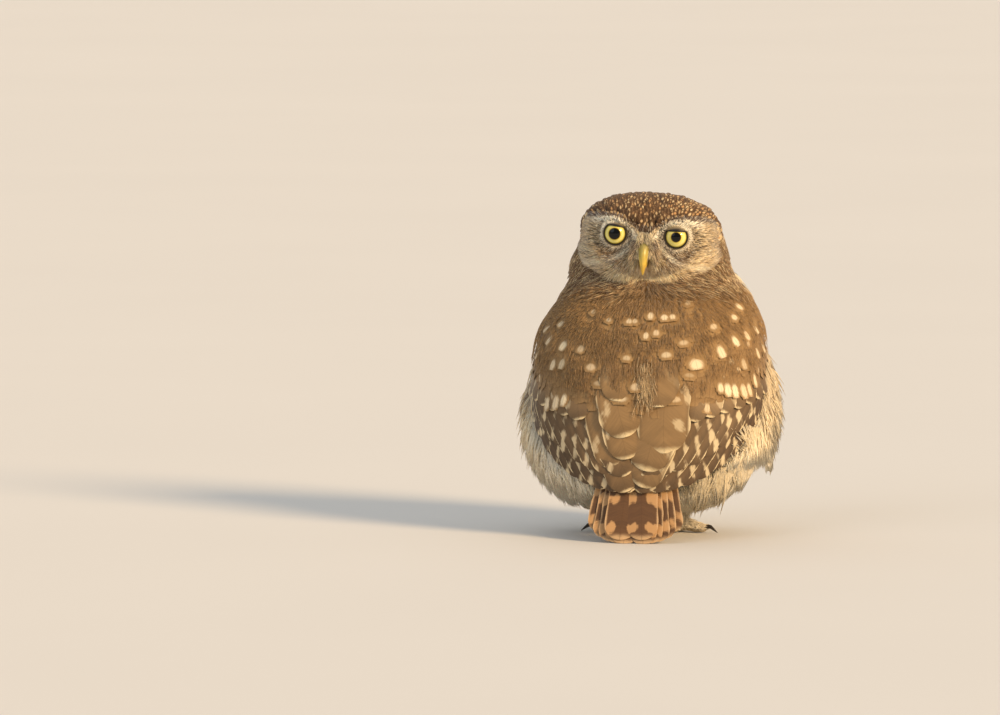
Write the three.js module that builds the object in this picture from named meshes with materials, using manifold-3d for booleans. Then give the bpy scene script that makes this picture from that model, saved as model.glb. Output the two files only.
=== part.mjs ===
// A little owl at life size. It stands with its back to -Y and its breast to +Y, wings folded and tail
// down, and its head is turned right round, so that the face looks back over -Y.
// Millimetres, +Z up, the floor at z = 0. Right is +X, as seen from behind.
import * as THREE from "three";
import { mergeVertices } from "three/addons/utils/BufferGeometryUtils.js";
import Module from "manifold-3d";

const wasm = await Module();
wasm.setup();

// Driving dimensions
const gap = 0.3; // clearance between neighbouring pieces
const headCentre = new THREE.Vector3(0.6, -3, 169);
const headRoll = 2.8; // degrees, the right side lower
const headYaw = 2.7; // degrees, the face towards +X
const headHalfWidth = 40.5;
const headTop = 24.8;
const headBottom = 25;
const faceDepth = 31; // centre of the head to the flat of the face
const napeDepth = 32;
const eyeSpread = 17.2; // middle of the face to the middle of a pupil
const eyeRise = 3.2;
const eyeballRadius = 8.6;
const eyeTurn = 2; // degrees, how far each eye looks outwards
const eyeOpening = 6.6; // radius of the opening between the lids
const lidRadius = 1.1; // of the lid's rounded edge
const wingThickness = 5;
const tailHalfWidth = 30.5;
const footSpread = 17; // middle of the body to a foot
const footForward = 4;
const neckHeight = 139; // where the neck meets the body
const bodyBottom = 13;
const bodyTop = 167;
const vaneThickness = 0.7;
const wingTilt = 10; // degrees, how far a flight feather's outer edge is raised over the one outside it
const coverTilt = 5; // the same for the tertials and coverts
const clawLength = 9.5;

const lerp = THREE.MathUtils.lerp;

// The body's level sections: height, half width, and depth behind and in front of the section's middle.
const bodySections = [
  { z: 13, halfWidth: 24, back: 18, front: 18, middle: -2 },
  { z: 17, halfWidth: 37, back: 29, front: 30, middle: -2 },
  { z: 24, halfWidth: 48, back: 39, front: 39, middle: -2 },
  { z: 34, halfWidth: 58, back: 48, front: 46, middle: -2 },
  { z: 46, halfWidth: 65, back: 55, front: 52, middle: -1 },
  { z: 60, halfWidth: 69, back: 58, front: 56, middle: 0 },
  { z: 74, halfWidth: 69.5, back: 59, front: 58, middle: 1 },
  { z: 88, halfWidth: 68.3, back: 59, front: 58.5, middle: 2 },
  { z: 101, halfWidth: 66.4, back: 57, front: 56, middle: 2 },
  { z: 113, halfWidth: 64.4, back: 53.5, front: 52.5, middle: 2 },
  { z: 124, halfWidth: 60.8, back: 48.5, front: 48, middle: 2 },
  { z: 132, halfWidth: 56, back: 43, front: 44, middle: 2 },
  { z: 140, halfWidth: 50.8, back: 36.5, front: 40, middle: 2 },
  { z: 149, halfWidth: 46.2, back: 28.5, front: 36, middle: 2 },
  { z: 158, halfWidth: 41.4, back: 20, front: 32.5, middle: 2 },
  { z: 163, halfWidth: 37, back: 15, front: 29, middle: 2 },
  { z: 167, halfWidth: 31, back: 11, front: 24, middle: 2 },
];

// The folded wings' outer face, which hangs further back than the body below the rump
const cloakSections = bodySections.map((row) => ({ ...row }));
cloakSections.forEach((row) => {
  if (row.z < 80) row.back = row.middle + lerp(62.8, 60, row.z / 80);
});

const radians = THREE.MathUtils.degToRad;
const smooth = THREE.MathUtils.smoothstep;
const vector = (x, y, z) => new THREE.Vector3(x, y, z);

// A smooth curve through the rows of a table, in the table's own spacing.
function tableValue(rows, key, z) {
  const last = rows.length - 1;
  const clamped = THREE.MathUtils.clamp(z, rows[0].z, rows[last].z);
  let i = 0;
  while (i < last - 1 && clamped > rows[i + 1].z) i += 1;
  const slope = (j) => {
    const a = rows[Math.max(j - 1, 0)];
    const b = rows[Math.min(j + 1, last)];
    return (b[key] - a[key]) / (b.z - a.z);
  };
  const step = rows[i + 1].z - rows[i].z;
  const t = (clamped - rows[i].z) / step;
  const rise = rows[i + 1][key] - rows[i][key];
  const start = slope(i) * step;
  const end = slope(i + 1) * step;
  return rows[i][key] + start * t + (3 * rise - 2 * start - end) * t * t + (start + end - 2 * rise) * t ** 3;
}

// The shoulders stand a little towards +X of the hips
const bodyLean = (z) => 3.4 * smooth(z, 105, 142) - 1.2 * smooth(z, 148, 162);

// A point of a form made of level sections. The angle is 0 at +X, -90 degrees at the back and 90 at the breast.
function surfacePoint(sections, angle, z, out = 0) {
  const sectionPower = 2.15;
  const c = Math.cos(angle);
  const s = Math.sin(angle);
  const halfWidth = tableValue(sections, "halfWidth", z) + out;
  const depth = tableValue(sections, s < 0 ? "back" : "front", z) + out;
  const sum = Math.abs(c / halfWidth) ** sectionPower + Math.abs(s / depth) ** sectionPower;
  const reach = sum ** (-1 / sectionPower);
  return vector(bodyLean(z) + reach * c, tableValue(sections, "middle", z) + reach * s, z);
}

function surfaceNormal(sections, angle, z) {
  const turn = surfacePoint(sections, angle + 0.02, z).sub(surfacePoint(sections, angle - 0.02, z));
  const rise = surfacePoint(sections, angle, z + 1).sub(surfacePoint(sections, angle, z - 1));
  return turn.cross(rise).normalize();
}

const liftedPoint = (sections, angle, z, lift) =>
  surfacePoint(sections, angle, z).addScaledVector(surfaceNormal(sections, angle, z), lift);

// The same draws each time
let seed = 7;
function random() {
  seed = (seed * 1103515245 + 12345) % 2147483648;
  return seed / 2147483648;
}
const vary = (share) => 1 + share * (2 * random() - 1);

// A closed solid from rings of points, all with the same number of them. An end may be a single point.
function solidFromRings(rings) {
  const points = [];
  const starts = rings.map((ring) => {
    points.push(...ring);
    return points.length - ring.length;
  });
  const faces = [];
  const around = Math.max(...rings.map((ring) => ring.length));
  for (let i = 0; i < rings.length - 1; i += 1) {
    for (let j = 0; j < around; j += 1) {
      const k = (j + 1) % around;
      const [a, b] = [starts[i], starts[i + 1]];
      if (rings[i].length === 1) faces.push([a, b + k, b + j]);
      else if (rings[i + 1].length === 1) faces.push([a + j, a + k, b]);
      else faces.push([a + j, a + k, b + k], [a + j, b + k, b + j]);
    }
  }
  const capFan = (start, flip) => {
    for (let j = 1; j < around - 1; j += 1) {
      faces.push(flip ? [start, start + j + 1, start + j] : [start, start + j, start + j + 1]);
    }
  };
  if (rings[0].length > 1) capFan(starts[0], true);
  if (rings.at(-1).length > 1) capFan(starts.at(-1), false);
  return solidFromFaces(points, faces);
}

function solidFromFaces(points, faces) {
  const build = (flip) =>
    new wasm.Manifold(
      new wasm.Mesh({
        numProp: 3,
        vertProperties: new Float32Array(points.flatMap((p) => [p.x, p.y, p.z])),
        triVerts: new Uint32Array(faces.flatMap(([a, b, c]) => (flip ? [a, c, b] : [a, b, c]))),
      }),
    );
  const made = build(false);
  return made.volume() > 0 ? made : build(true);
}

function solidFromGeometry(geometry) {
  const bare = geometry.clone();
  bare.deleteAttribute("normal");
  bare.deleteAttribute("uv");
  const merged = mergeVertices(bare, 1e-4);
  const at = merged.attributes.position;
  const points = Array.from({ length: at.count }, (_, i) => new THREE.Vector3().fromBufferAttribute(at, i));
  const index = merged.index.array;
  const faces = [];
  for (let i = 0; i < index.length; i += 3) faces.push([index[i], index[i + 1], index[i + 2]]);
  return solidFromFaces(points, faces);
}

const join = (solids) => wasm.Manifold.union(solids);

// The largest closed surface of a solid
const largest = (solid) => solid.decompose().reduce((a, b) => (a.volume() > b.volume() ? a : b));

// Everything over the floor
function aboveFloor(solid) {
  return solid.trimByPlane([0, 0, 1], 0);
}

// A ring of points round a centre, in the plane of two axes
function ring(centre, across, up, halfWidth, halfHeight, count) {
  return Array.from({ length: count }, (_, i) => {
    const turn = (2 * Math.PI * (i + 0.5)) / count;
    return centre
      .clone()
      .addScaledVector(across, halfWidth * Math.cos(turn))
      .addScaledVector(up, halfHeight * Math.sin(turn));
  });
}

// The same rings with both ends moved outwards
function longer(rings, out) {
  const centre = (points) => points.reduce((sum, p) => sum.add(p), vector(0, 0, 0)).divideScalar(points.length);
  const move = (from, to) => {
    const step = centre(from).sub(centre(to)).normalize().multiplyScalar(out);
    return from.map((p) => p.clone().add(step));
  };
  return [move(rings[0], rings[1]), ...rings.slice(1, -1), move(rings.at(-1), rings.at(-2))];
}

// Level sections joined up as one closed form, between two heights
function sectionForm(sections, out, from, to, levels, around) {
  const rings = [];
  for (let i = 0; i <= levels; i += 1) {
    const z = lerp(from, to, i / levels);
    const angle = (j) => (2 * Math.PI * j) / around - Math.PI / 2;
    rings.push(Array.from({ length: around }, (_, j) => surfacePoint(sections, angle(j), z, out)));
  }
  return solidFromRings(rings);
}

// A flat feather: a thin blade with a raised shaft line. Both faces are split alike.
function blade(stations) {
  const rings = stations.map(({ at, across, up, halfWidth, camber }) => {
    const edge = vaneThickness / 2;
    const point = (side, height) => at.clone().addScaledVector(across, side).addScaledVector(up, height);
    return [
      point(-halfWidth, -edge - camber),
      point(0, -edge),
      point(halfWidth, -edge - camber),
      point(halfWidth, edge - camber),
      point(0, edge),
      point(-halfWidth, edge - camber),
    ];
  });
  const points = rings.flat();
  const faces = [];
  for (let i = 0; i < rings.length - 1; i += 1) {
    const a = i * 6;
    const b = a + 6;
    // The lower face, its mirror on the upper face, then the two edges
    faces.push([a, b + 1, a + 1], [a, b, b + 1], [a + 1, b + 1, a + 2], [b + 1, b + 2, a + 2]);
    faces.push([a + 5, a + 4, b + 4], [a + 5, b + 4, b + 5], [a + 4, a + 3, b + 4], [b + 4, a + 3, b + 3]);
    faces.push([a + 2, b + 2, b + 3], [a + 2, b + 3, a + 3], [a, a + 5, b + 5], [a, b + 5, b]);
  }
  const cap = (a, flip) => {
    const tris = [
      [a, a + 1, a + 4],
      [a, a + 4, a + 5],
      [a + 1, a + 2, a + 3],
      [a + 1, a + 3, a + 4],
    ];
    faces.push(...tris.map(([p, q, r]) => (flip ? [p, r, q] : [p, q, r])));
  };
  cap(0, false);
  cap((rings.length - 1) * 6, true);
  return solidFromFaces(points, faces);
}

// Share of the full width at each place along a feather, from the sunk root to the rounded tip
const featherOutline = [
  { t: 0, width: 0.6 },
  { t: 0.4, width: 0.95 },
  { t: 0.75, width: 1 },
  { t: 0.93, width: 0.7 },
  { t: 1, width: 0.22 },
];

// A feather that lies on the body's form, from a root to a tip that are given as angle, height and lift.
// side is 1 on the right and -1 on the left, and tilt raises the edge further from the back's middle.
function bodyFeather({ side, root, tip, halfWidth, tilt = wingTilt, bow = 0 }) {
  const place = (t) => {
    const degrees = lerp(root.angle, tip.angle, t) + bow * Math.sin(Math.PI * t);
    const angle = radians(side > 0 ? degrees : -180 - degrees);
    const z = lerp(root.z, tip.z, t);
    const normal = surfaceNormal(cloakSections, angle, z);
    return { at: liftedPoint(cloakSections, angle, z, lerp(root.lift, tip.lift, t)), normal };
  };
  return blade(
    featherOutline.map(({ t, width }) => {
      const { at, normal } = place(t);
      const along = place(Math.min(t + 0.02, 1)).at.sub(place(Math.min(t, 0.98)).at).normalize();
      const across = along.clone().cross(normal).normalize();
      const up = across.clone().cross(along).normalize();
      const turn = radians(tilt) * side;
      across.applyAxisAngle(along, turn);
      up.applyAxisAngle(along, turn);
      return { at, across, up, halfWidth: halfWidth * width, camber: 0.05 * halfWidth * width };
    }),
  );
}

// A loose lock of the flank and belly: flat, tapered and bent outwards and down
function fluffLock({ degrees, z, length, flare, halfWidth }) {
  const angle = radians(degrees);
  const normal = surfaceNormal(bodySections, angle, z);
  const level = vector(-Math.sin(angle), Math.cos(angle), 0);
  const down = level.clone().cross(normal).normalize();
  if (down.z > 0) down.negate();
  const root = liftedPoint(bodySections, angle, z, -3); // sunk into the body
  const shape = [
    { t: 0, width: 0.75, thickness: 2.6 },
    { t: 0.35, width: 1, thickness: 2.6 },
    { t: 0.7, width: 0.72, thickness: 1.8 },
    { t: 1, width: 0.12, thickness: 0.6 },
  ];
  const place = (t) =>
    root
      .clone()
      .addScaledVector(down, length * t * (1 - 0.12 * t))
      .addScaledVector(normal, 3 * t + flare * t * t * (1.7 - 0.7 * t));
  const rings = shape.map(({ t, width, thickness }) => {
    const along = place(t + 0.01).sub(place(t - 0.01)).normalize();
    const across = along.clone().cross(normal).normalize();
    const up = across.clone().cross(along);
    const point = (wide, high) =>
      place(t).addScaledVector(across, halfWidth * width * wide).addScaledVector(up, thickness * high);
    return [point(-1, -0.5), point(1, -0.5), point(0, 0.5)];
  });
  return solidFromRings(rings);
}

// The space of a folded wing between two edges, as a wedge through the body's side
function wingSpace(side, edges, grow) {
  const inner = 0.3; // shares of the way from the body's middle to its surface
  const outer = 1.35;
  const rings = edges.map(({ angle: degrees, high, low }) => {
    const angle = radians(side > 0 ? degrees : -180 - degrees);
    const middle = vector(0, 1, 0);
    const at = (share, z) => {
      const p = surfacePoint(bodySections, angle, THREE.MathUtils.clamp(z, 30, 150));
      return vector(lerp(middle.x, p.x, share), lerp(middle.y, p.y, share), z);
    };
    return [at(inner, low - grow), at(outer, low - grow), at(outer, high + grow), at(inner, high + grow)];
  });
  return solidFromRings(rings);
}

// The folded wing's edges by angle: the scapular line above, the plate's lower edge and the feather tips' line
const wingOutline = [
  { angle: 24, high: 118, plate: 112, tips: 110.5 },
  { angle: 12, high: 123, plate: 101, tips: 99 },
  { angle: 0, high: 124, plate: 93, tips: 84 },
  { angle: -15, high: 122, plate: 86, tips: 61 },
  { angle: -30, high: 118, plate: 80, tips: 47 },
  { angle: -45, high: 112, plate: 75, tips: 36 },
  { angle: -60, high: 106, plate: 71, tips: 30 },
  { angle: -75, high: 101, plate: 68, tips: 26 },
  { angle: -90, high: 98, plate: 66, tips: 25 },
];

// All that lies on one side of the back's middle line
const halfSpace = (side) =>
  solidFromGeometry(new THREE.BoxGeometry(200, 300, 400).translate(side * (100 + gap / 2), 0, 100));

function wingFeathers(side) {
  const feathers = [];
  const tier = (count, make) => {
    for (let i = 0; i < count; i += 1) feathers.push(bodyFeather({ side, ...make(i / (count - 1)) }));
  };
  // Primaries, whose tips step down the wing's lower edge to its point over the tail
  tier(6, (s) => ({
    root: { angle: lerp(-4, -46, s), z: lerp(92, 78, s), lift: -3.6 },
    tip: { angle: lerp(-25, -89, s), z: 29.5 + 37 * (1 - s) ** 2.6, lift: lerp(-2.9, -2.4, s) },
    halfWidth: lerp(6.2, 7.4, s),
    bow: -2,
  }));
  // Secondaries, shorter and over the primaries
  tier(5, (s) => ({
    root: { angle: lerp(-14, -58, s), z: lerp(97, 86, s), lift: -2.4 },
    tip: { angle: lerp(-38, -88, s), z: 39 + 30 * (1 - s) ** 1.8, lift: -1.3 },
    halfWidth: lerp(6.5, 7.8, s),
  }));
  // Tertials, broad and rounded, over the middle of the back
  tier(3, (s) => ({
    root: { angle: lerp(-50, -74, s), z: lerp(98, 90, s), lift: -1.6 },
    tip: { angle: lerp(-70, -87, s), z: lerp(63, 47, s), lift: 0.2 },
    halfWidth: 9,
    tilt: coverTilt,
  }));
  // Greater coverts, over the roots of the secondaries
  tier(5, (s) => ({
    root: { angle: lerp(-2, -66, s), z: lerp(108, 99, s), lift: -1.4 },
    tip: { angle: lerp(-12, -79, s), z: lerp(85, 73, s), lift: 1 },
    halfWidth: 8,
    tilt: coverTilt,
  }));
  return feathers;
}

function wing(side, core) {
  const cloak = sectionForm(cloakSections, 0, bodyBottom + 1, 160, 11, 26);
  const plateEdges = wingOutline.map(({ angle, high, plate }) => ({ angle, high, low: plate }));
  const plate = cloak.intersect(wingSpace(side, plateEdges, 0));
  return largest(
    join([plate, ...wingFeathers(side)])
      .subtract(core)
      .intersect(halfSpace(side)),
  );
}

// The torso's core under the wings, which a wing clears by the gap
const coreForm = (out) => sectionForm(bodySections, out - wingThickness, bodyBottom + 1, 150, 10, 22);

// Tail: twelve feathers in a fan, the middle pair outermost, that lean back to the floor
function tailFrame(t, across) {
  const rootAt = vector(0, -44, 66);
  const tipAt = vector(0, -66, 0);
  const at = rootAt.clone().lerp(tipAt, t);
  return at.add(vector(across, 0, 0));
}

const tailAlong = tailFrame(1, 0).sub(tailFrame(0, 0)).normalize();
const tailUp = vector(0, tailAlong.z, -tailAlong.y);
const tailAcross = vector(1, 0, 0);

function tail() {
  const pairs = 6;
  const halfWidth = 7.4;
  const feathers = [];
  for (let i = 0; i < pairs; i += 1) {
    for (const side of [-1, 1]) {
      const s = (i + 0.5) / pairs;
      const tipShare = 1.01 - 0.14 * s ** 2.4;
      const spread = side * (tailHalfWidth - halfWidth) * s;
      const layer = -0.95 * (i + (side < 0 ? 0.5 : 0));
      feathers.push(
        blade(
          featherOutline.map(({ t, width }) => {
            const at = tailFrame(t * tipShare, spread * lerp(0.42, 1, t)).addScaledVector(tailUp, layer);
            const lean = radians(3) * side;
            return {
              at,
              across: tailAcross.clone().applyAxisAngle(tailAlong, lean),
              up: tailUp.clone().applyAxisAngle(tailAlong, lean),
              halfWidth: (i ? halfWidth : 1.3 * halfWidth) * Math.max(width, 0.3),
              camber: 0.3,
            };
          }),
        ),
      );
    }
  }
  const rootShape = [
    { t: 0, halfWidth: 15, halfHeight: 3.9 },
    { t: 0.1, halfWidth: 16, halfHeight: 3.4 },
    { t: 0.22, halfWidth: 17, halfHeight: 2.8 },
  ];
  const rootBlock = solidFromRings(
    rootShape.map(({ t, halfWidth: wide, halfHeight }) =>
      ring(tailFrame(t, 0).addScaledVector(tailUp, -3.4), tailAcross, tailUp, wide, halfHeight, 12),
    ),
  );
  return join([rootBlock, ...feathers]);
}

// The hollow of the lower back that the tail fills
function tailRoom() {
  const inward = -7.6;
  const outward = 30;
  const section = (t, halfWidth) => {
    const corner = (x, height) => tailFrame(t, x).addScaledVector(tailUp, height);
    return [
      corner(-halfWidth, inward),
      corner(halfWidth, inward),
      corner(halfWidth, outward),
      corner(-halfWidth, outward),
    ];
  };
  return solidFromRings([section(-0.03, 20), section(0.25, 25), section(0.6, 30), section(1.05, 33)]);
}

// Locks of the flanks and belly, in rows from under the wings to the vent
function bellyLocks() {
  const locks = [];
  const rows = [
    { z: 88, from: 20, to: 160, count: 7, length: 24, flare: 2.5 },
    { z: 78, from: 0, to: 180, count: 9, length: 25, flare: 5 },
    { z: 66, from: -16, to: 196, count: 11, length: 25, flare: 5 },
    { z: 54, from: -26, to: 206, count: 12, length: 24, flare: 5 },
    { z: 42, from: -38, to: 218, count: 12, length: 21, flare: 5 },
    { z: 30, from: -44, to: 224, count: 11, length: 16, flare: 5 },
    { z: 20, from: -40, to: 220, count: 7, length: 9, flare: 3 },
  ];
  for (const row of rows) {
    for (let i = 0; i < row.count; i += 1) {
      const share = i / (row.count - 1);
      const degrees = lerp(row.from, row.to, share) + 5 * (random() - 0.5);
      const rise = 4 * Math.cos(radians(degrees)); // the right flank is puffed out higher up
      const flank = Math.abs(Math.cos(radians(degrees))) ** 1.5;
      locks.push(
        fluffLock({
          degrees,
          z: row.z + rise + 3 * (random() - 0.5),
          length: row.length * vary(0.1),
          flare: row.flare * lerp(0.4, 1, flank) * vary(0.3),
          halfWidth: 8.6 * vary(0.12),
        }),
      );
    }
  }
  return locks;
}

// Legs and feet
const footMiddle = (side) => vector(side * footSpread, footForward, 0);

function legForm(side, out) {
  const foot = footMiddle(side);
  const rows = [
    { z: 4, halfWidth: 4.2, halfDepth: 4.6, y: 0 },
    { z: 10, halfWidth: 4.4, halfDepth: 5, y: -0.5 },
    { z: 18, halfWidth: 6, halfDepth: 7, y: -2 },
    { z: 27, halfWidth: 9, halfDepth: 11, y: -3.5 },
    { z: 38, halfWidth: 10, halfDepth: 13, y: -4 },
  ];
  const rings = rows.map(({ z, halfWidth, halfDepth, y }) => {
    const at = foot.clone().add(vector(0, y, z));
    return ring(at, vector(1, 0, 0), vector(0, 1, 0), halfWidth + out, halfDepth + out, 10);
  });
  return solidFromRings(longer(rings, out));
}

// The four toes, by the way they point in degrees from +Y towards the outside, and their lengths
const toes = [
  { name: "inner", heading: -16, length: 17 },
  { name: "middle", heading: 14, length: 20 },
  { name: "outer", heading: 108, length: 16 },
  { name: "hind", heading: 196, length: 12 },
];

function toeFrame(side, { heading, length }) {
  const turn = radians(heading) * side;
  const along = vector(Math.sin(turn), Math.cos(turn), 0);
  const across = vector(along.y, -along.x, 0);
  return { start: footMiddle(side), along, across, length };
}

function toe(side, spec) {
  const { start, along, across, length } = toeFrame(side, spec);
  const shape = [
    { t: -0.15, radius: 3.2, z: 5.2 },
    { t: 0.12, radius: 3.7, z: 4.6 },
    { t: 0.35, radius: 2.9, z: 3.6 },
    { t: 0.55, radius: 3.2, z: 3 },
    { t: 0.76, radius: 2.5, z: 2.7 },
    { t: 0.92, radius: 2.7, z: 2.5 },
    { t: 1.04, radius: 1.5, z: 2.6 },
  ];
  return solidFromRings(
    shape.map(({ t, radius, z }) => {
      const at = start.clone().addScaledVector(along, length * t).setZ(z);
      return ring(at, across, vector(0, 0, 1), radius, radius, 6);
    }),
  );
}

function claw(side, spec, out) {
  const { start, along, across, length } = toeFrame(side, spec);
  const shape = [
    { t: 0, radius: 1.45 },
    { t: 0.25, radius: 1.35 },
    { t: 0.5, radius: 1.1 },
    { t: 0.75, radius: 0.7 },
    { t: 1, radius: 0.2 },
  ];
  const rings = shape.map(({ t, radius }) => {
    const bend = lerp(-0.35, 1.15, t);
    const at = start
      .clone()
      .addScaledVector(along, length * 0.95 + clawLength * 0.86 * t)
      .setZ(3 + 1.3 * Math.sin(Math.PI * Math.min(t * 1.15, 1)) - 2.4 * t * t);
    const up = vector(0, 0, Math.cos(bend)).addScaledVector(along, Math.sin(bend));
    return ring(at, across, up, radius + out, radius + out, 6);
  });
  return solidFromRings(longer(rings, out));
}

// Head. Its own frame has the face towards -Y; headPlaced turns it into the owl's.
const headTurn = new THREE.Matrix4()
  .makeTranslation(headCentre)
  .multiply(new THREE.Matrix4().makeRotationZ(radians(headYaw)))
  .multiply(new THREE.Matrix4().makeRotationY(radians(headRoll)));
const headPlaced = (solid) => solid.transform(headTurn.elements);

// How far the face stands forward of the plain head at a place seen from the front
function faceRelief(x, z) {
  const side = Math.abs(x);
  const hump = (cx, cz, rx, rz) => Math.exp(-(((side - cx) / rx) ** 2) - ((z - cz) / rz) ** 2);
  const eyeDistance = Math.hypot(side - eyeSpread, z - eyeRise);
  const disc = -2.6 * Math.exp(-((eyeDistance / 9.5) ** 2)); // the hollow round the eye
  const rim = 1.1 * Math.exp(-(((eyeDistance - 15.5) / 3.5) ** 2)) * (z < 3 ? 1 : 0.3);
  const brow = 3.4 * hump(13, 11, 9, 4.2) + 2.2 * hump(4.5, 4, 4, 5) + 1.8 * hump(25, 12.5, 8, 4.5);
  const muzzle = 4.2 * hump(0, -9, 7.5, 8.5) + 2 * hump(9, -15, 9, 6);
  return disc + rim + brow + muzzle;
}

function headForm(out) {
  const around = 28;
  const boxiness = 2 / 2.35;
  const facePower = 2.5;
  const chinPower = 3.8; // squarer below, so that the chin stands forward over the mantle
  const rings = [[vector(0, -faceDepth - out - faceRelief(0, 0), 0)]];
  const slices = [0.12, 0.25, 0.38, 0.5, 0.62, 0.74, 0.85, 0.93, 0.98, 1];
  const faceCurve = (z) => lerp(facePower, chinPower, smooth(-z, 0, headBottom * 0.6));
  const napeCurve = () => 2.2;
  const slice = (share, depth, power) => {
    return Array.from({ length: around }, (_, j) => {
      const angle = (2 * Math.PI * j) / around;
      const square = (value) => Math.sign(value) * Math.abs(value) ** boxiness;
      const x = (headHalfWidth + out) * share * square(Math.cos(angle));
      const tall = Math.sin(angle) > 0 ? headTop : headBottom;
      const z = (tall + out) * share * square(Math.sin(angle));
      const cheek = 1 + 0.06 * smooth(-z, 0, headBottom / 2);
      const curve = power(z);
      const y = depth * (1 - share ** curve) ** (1 / curve);
      return vector(x * cheek, y, z);
    });
  };
  for (const share of slices) {
    const points = slice(share, -faceDepth - out, faceCurve);
    const relief = 1 - smooth(share, 0.72, 0.96);
    rings.push(points.map((p) => p.setY(p.y - relief * faceRelief(p.x, p.z))));
  }
  for (const share of [0.98, 0.87, 0.68, 0.4]) {
    rings.push(slice(share, napeDepth + out, napeCurve));
  }
  rings.push([vector(0, napeDepth + out, 0)]);
  return solidFromRings(rings);
}

const eyeMiddle = (side) => vector(side * eyeSpread, -faceDepth + 7.4, eyeRise);
const eyeDirection = (side) => vector(side * Math.sin(radians(eyeTurn)), -Math.cos(radians(eyeTurn)), 0);

function eyeball(side, out) {
  const ball = new THREE.SphereGeometry(eyeballRadius + out, 16, 8);
  ball.rotateX(Math.PI / 2);
  const middle = eyeMiddle(side);
  return solidFromGeometry(ball.translate(middle.x, middle.y, middle.z));
}

function eyelids(side) {
  // A raised ring round the opening
  const front = eyeMiddle(side).addScaledVector(eyeDirection(side), 5.1);
  const out = eyeDirection(side);
  const across = vector(0, 0, 1).cross(out).normalize();
  const count = 16;
  const section = Array.from({ length: count }, (_, i) => {
    const turn = (2 * Math.PI * i) / count;
    const radial = across.clone().multiplyScalar(Math.cos(turn)).add(vector(0, 0, Math.sin(turn)));
    const lidShare = 1 - 0.2 * Math.max(Math.sin(turn), 0) ** 2; // the upper lid hangs over the eye
    const middle = front.clone().addScaledVector(radial, (eyeOpening + 0.5) * lidShare);
    return ring(middle, radial, out, lidRadius, lidRadius, 6);
  });
  const faces = [];
  for (let i = 0; i < count; i += 1) {
    for (let j = 0; j < 6; j += 1) {
      const a = i * 6 + j;
      const b = i * 6 + ((j + 1) % 6);
      const c = ((i + 1) % count) * 6 + j;
      const d = ((i + 1) % count) * 6 + ((j + 1) % 6);
      faces.push([a, c, d], [a, d, b]);
    }
  }
  return solidFromFaces(section.flat(), faces);
}

// The bill hangs from between the eyes, curved and pointed
const billShape = [
  { y: 5, z: -1.2, halfWidth: 3, halfHeight: 3.4 },
  { y: -1.5, z: -2.6, halfWidth: 3.1, halfHeight: 3.6 },
  { y: -5, z: -5.2, halfWidth: 2.9, halfHeight: 3.3 },
  { y: -6.8, z: -9, halfWidth: 2.55, halfHeight: 2.8 },
  { y: -6.8, z: -13, halfWidth: 1.85, halfHeight: 2 },
  { y: -5.9, z: -16.6, halfWidth: 1, halfHeight: 1.05 },
  { y: -5.1, z: -18.9, halfWidth: 0.3, halfHeight: 0.3 },
];

function billUpper(out) {
  const root = vector(0, -faceDepth, 0);
  const rings = billShape.map((row, i) => {
    const before = billShape[Math.max(i - 1, 0)];
    const after = billShape[Math.min(i + 1, billShape.length - 1)];
    const along = vector(0, after.y - before.y, after.z - before.z).normalize();
    const up = vector(0, along.z, -along.y);
    const at = root.clone().add(vector(0, row.y, row.z));
    return ring(at, vector(1, 0, 0), up, row.halfWidth + out, row.halfHeight + out, 10);
  });
  return solidFromRings(longer(rings, out));
}

function nostrils() {
  return [-1, 1].map((side) =>
    solidFromGeometry(new THREE.SphereGeometry(0.9, 6, 4).translate(side * 2.7, -faceDepth - 4, -2.8)),
  );
}

function billLower(out) {
  const root = vector(0, -faceDepth, 0);
  const shape = [
    { y: 6, z: -8.8, halfWidth: 2.9, halfHeight: 1.8 },
    { y: -1, z: -10.6, halfWidth: 2.8, halfHeight: 1.8 },
    { y: -3.4, z: -13.6, halfWidth: 2, halfHeight: 1.2 },
    { y: -4, z: -16, halfWidth: 0.8, halfHeight: 0.55 },
  ];
  const rings = shape.map(({ y, z, halfWidth, halfHeight }, i) => {
    const bend = lerp(0.35, 1.3, i / 3);
    const up = vector(0, -Math.sin(bend), Math.cos(bend));
    return ring(root.clone().add(vector(0, y, z)), vector(1, 0, 0), up, halfWidth + out, halfHeight + out, 8);
  });
  return solidFromRings(longer(rings, out));
}

// Colours, read from the plumage
const material = (color, roughness = 0.85) => new THREE.MeshStandardMaterial({ color, roughness, metalness: 0 });
const finishes = {
  mantle: material(0x7a5f42),
  belly: material(0xd9c3a0),
  crown: material(0x8a6b48),
  flight: material(0x6d5439),
  tail: material(0x8c6239),
  iris: material(0xe8dc62, 0.2),
  horn: material(0xd8c454, 0.45),
  toe: material(0xb9a88c),
  claw: material(0x2c2622, 0.4),
};

const owl = new THREE.Group();
function addPiece(name, solid, finish) {
  const { numProp, vertProperties, triVerts } = largest(solid).getMesh();
  const points = new Float32Array((vertProperties.length / numProp) * 3);
  for (let i = 0; i < points.length / 3; i += 1) {
    points.set(vertProperties.subarray(i * numProp, i * numProp + 3), i * 3);
  }
  const geometry = new THREE.BufferGeometry();
  geometry.setAttribute("position", new THREE.BufferAttribute(points, 3));
  geometry.setIndex(new THREE.BufferAttribute(triVerts, 1));
  geometry.computeVertexNormals();
  const mesh = new THREE.Mesh(geometry, finish);
  mesh.name = name;
  owl.add(mesh);
}

const sides = [
  { side: 1, word: "right" },
  { side: -1, word: "left" },
];

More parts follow.
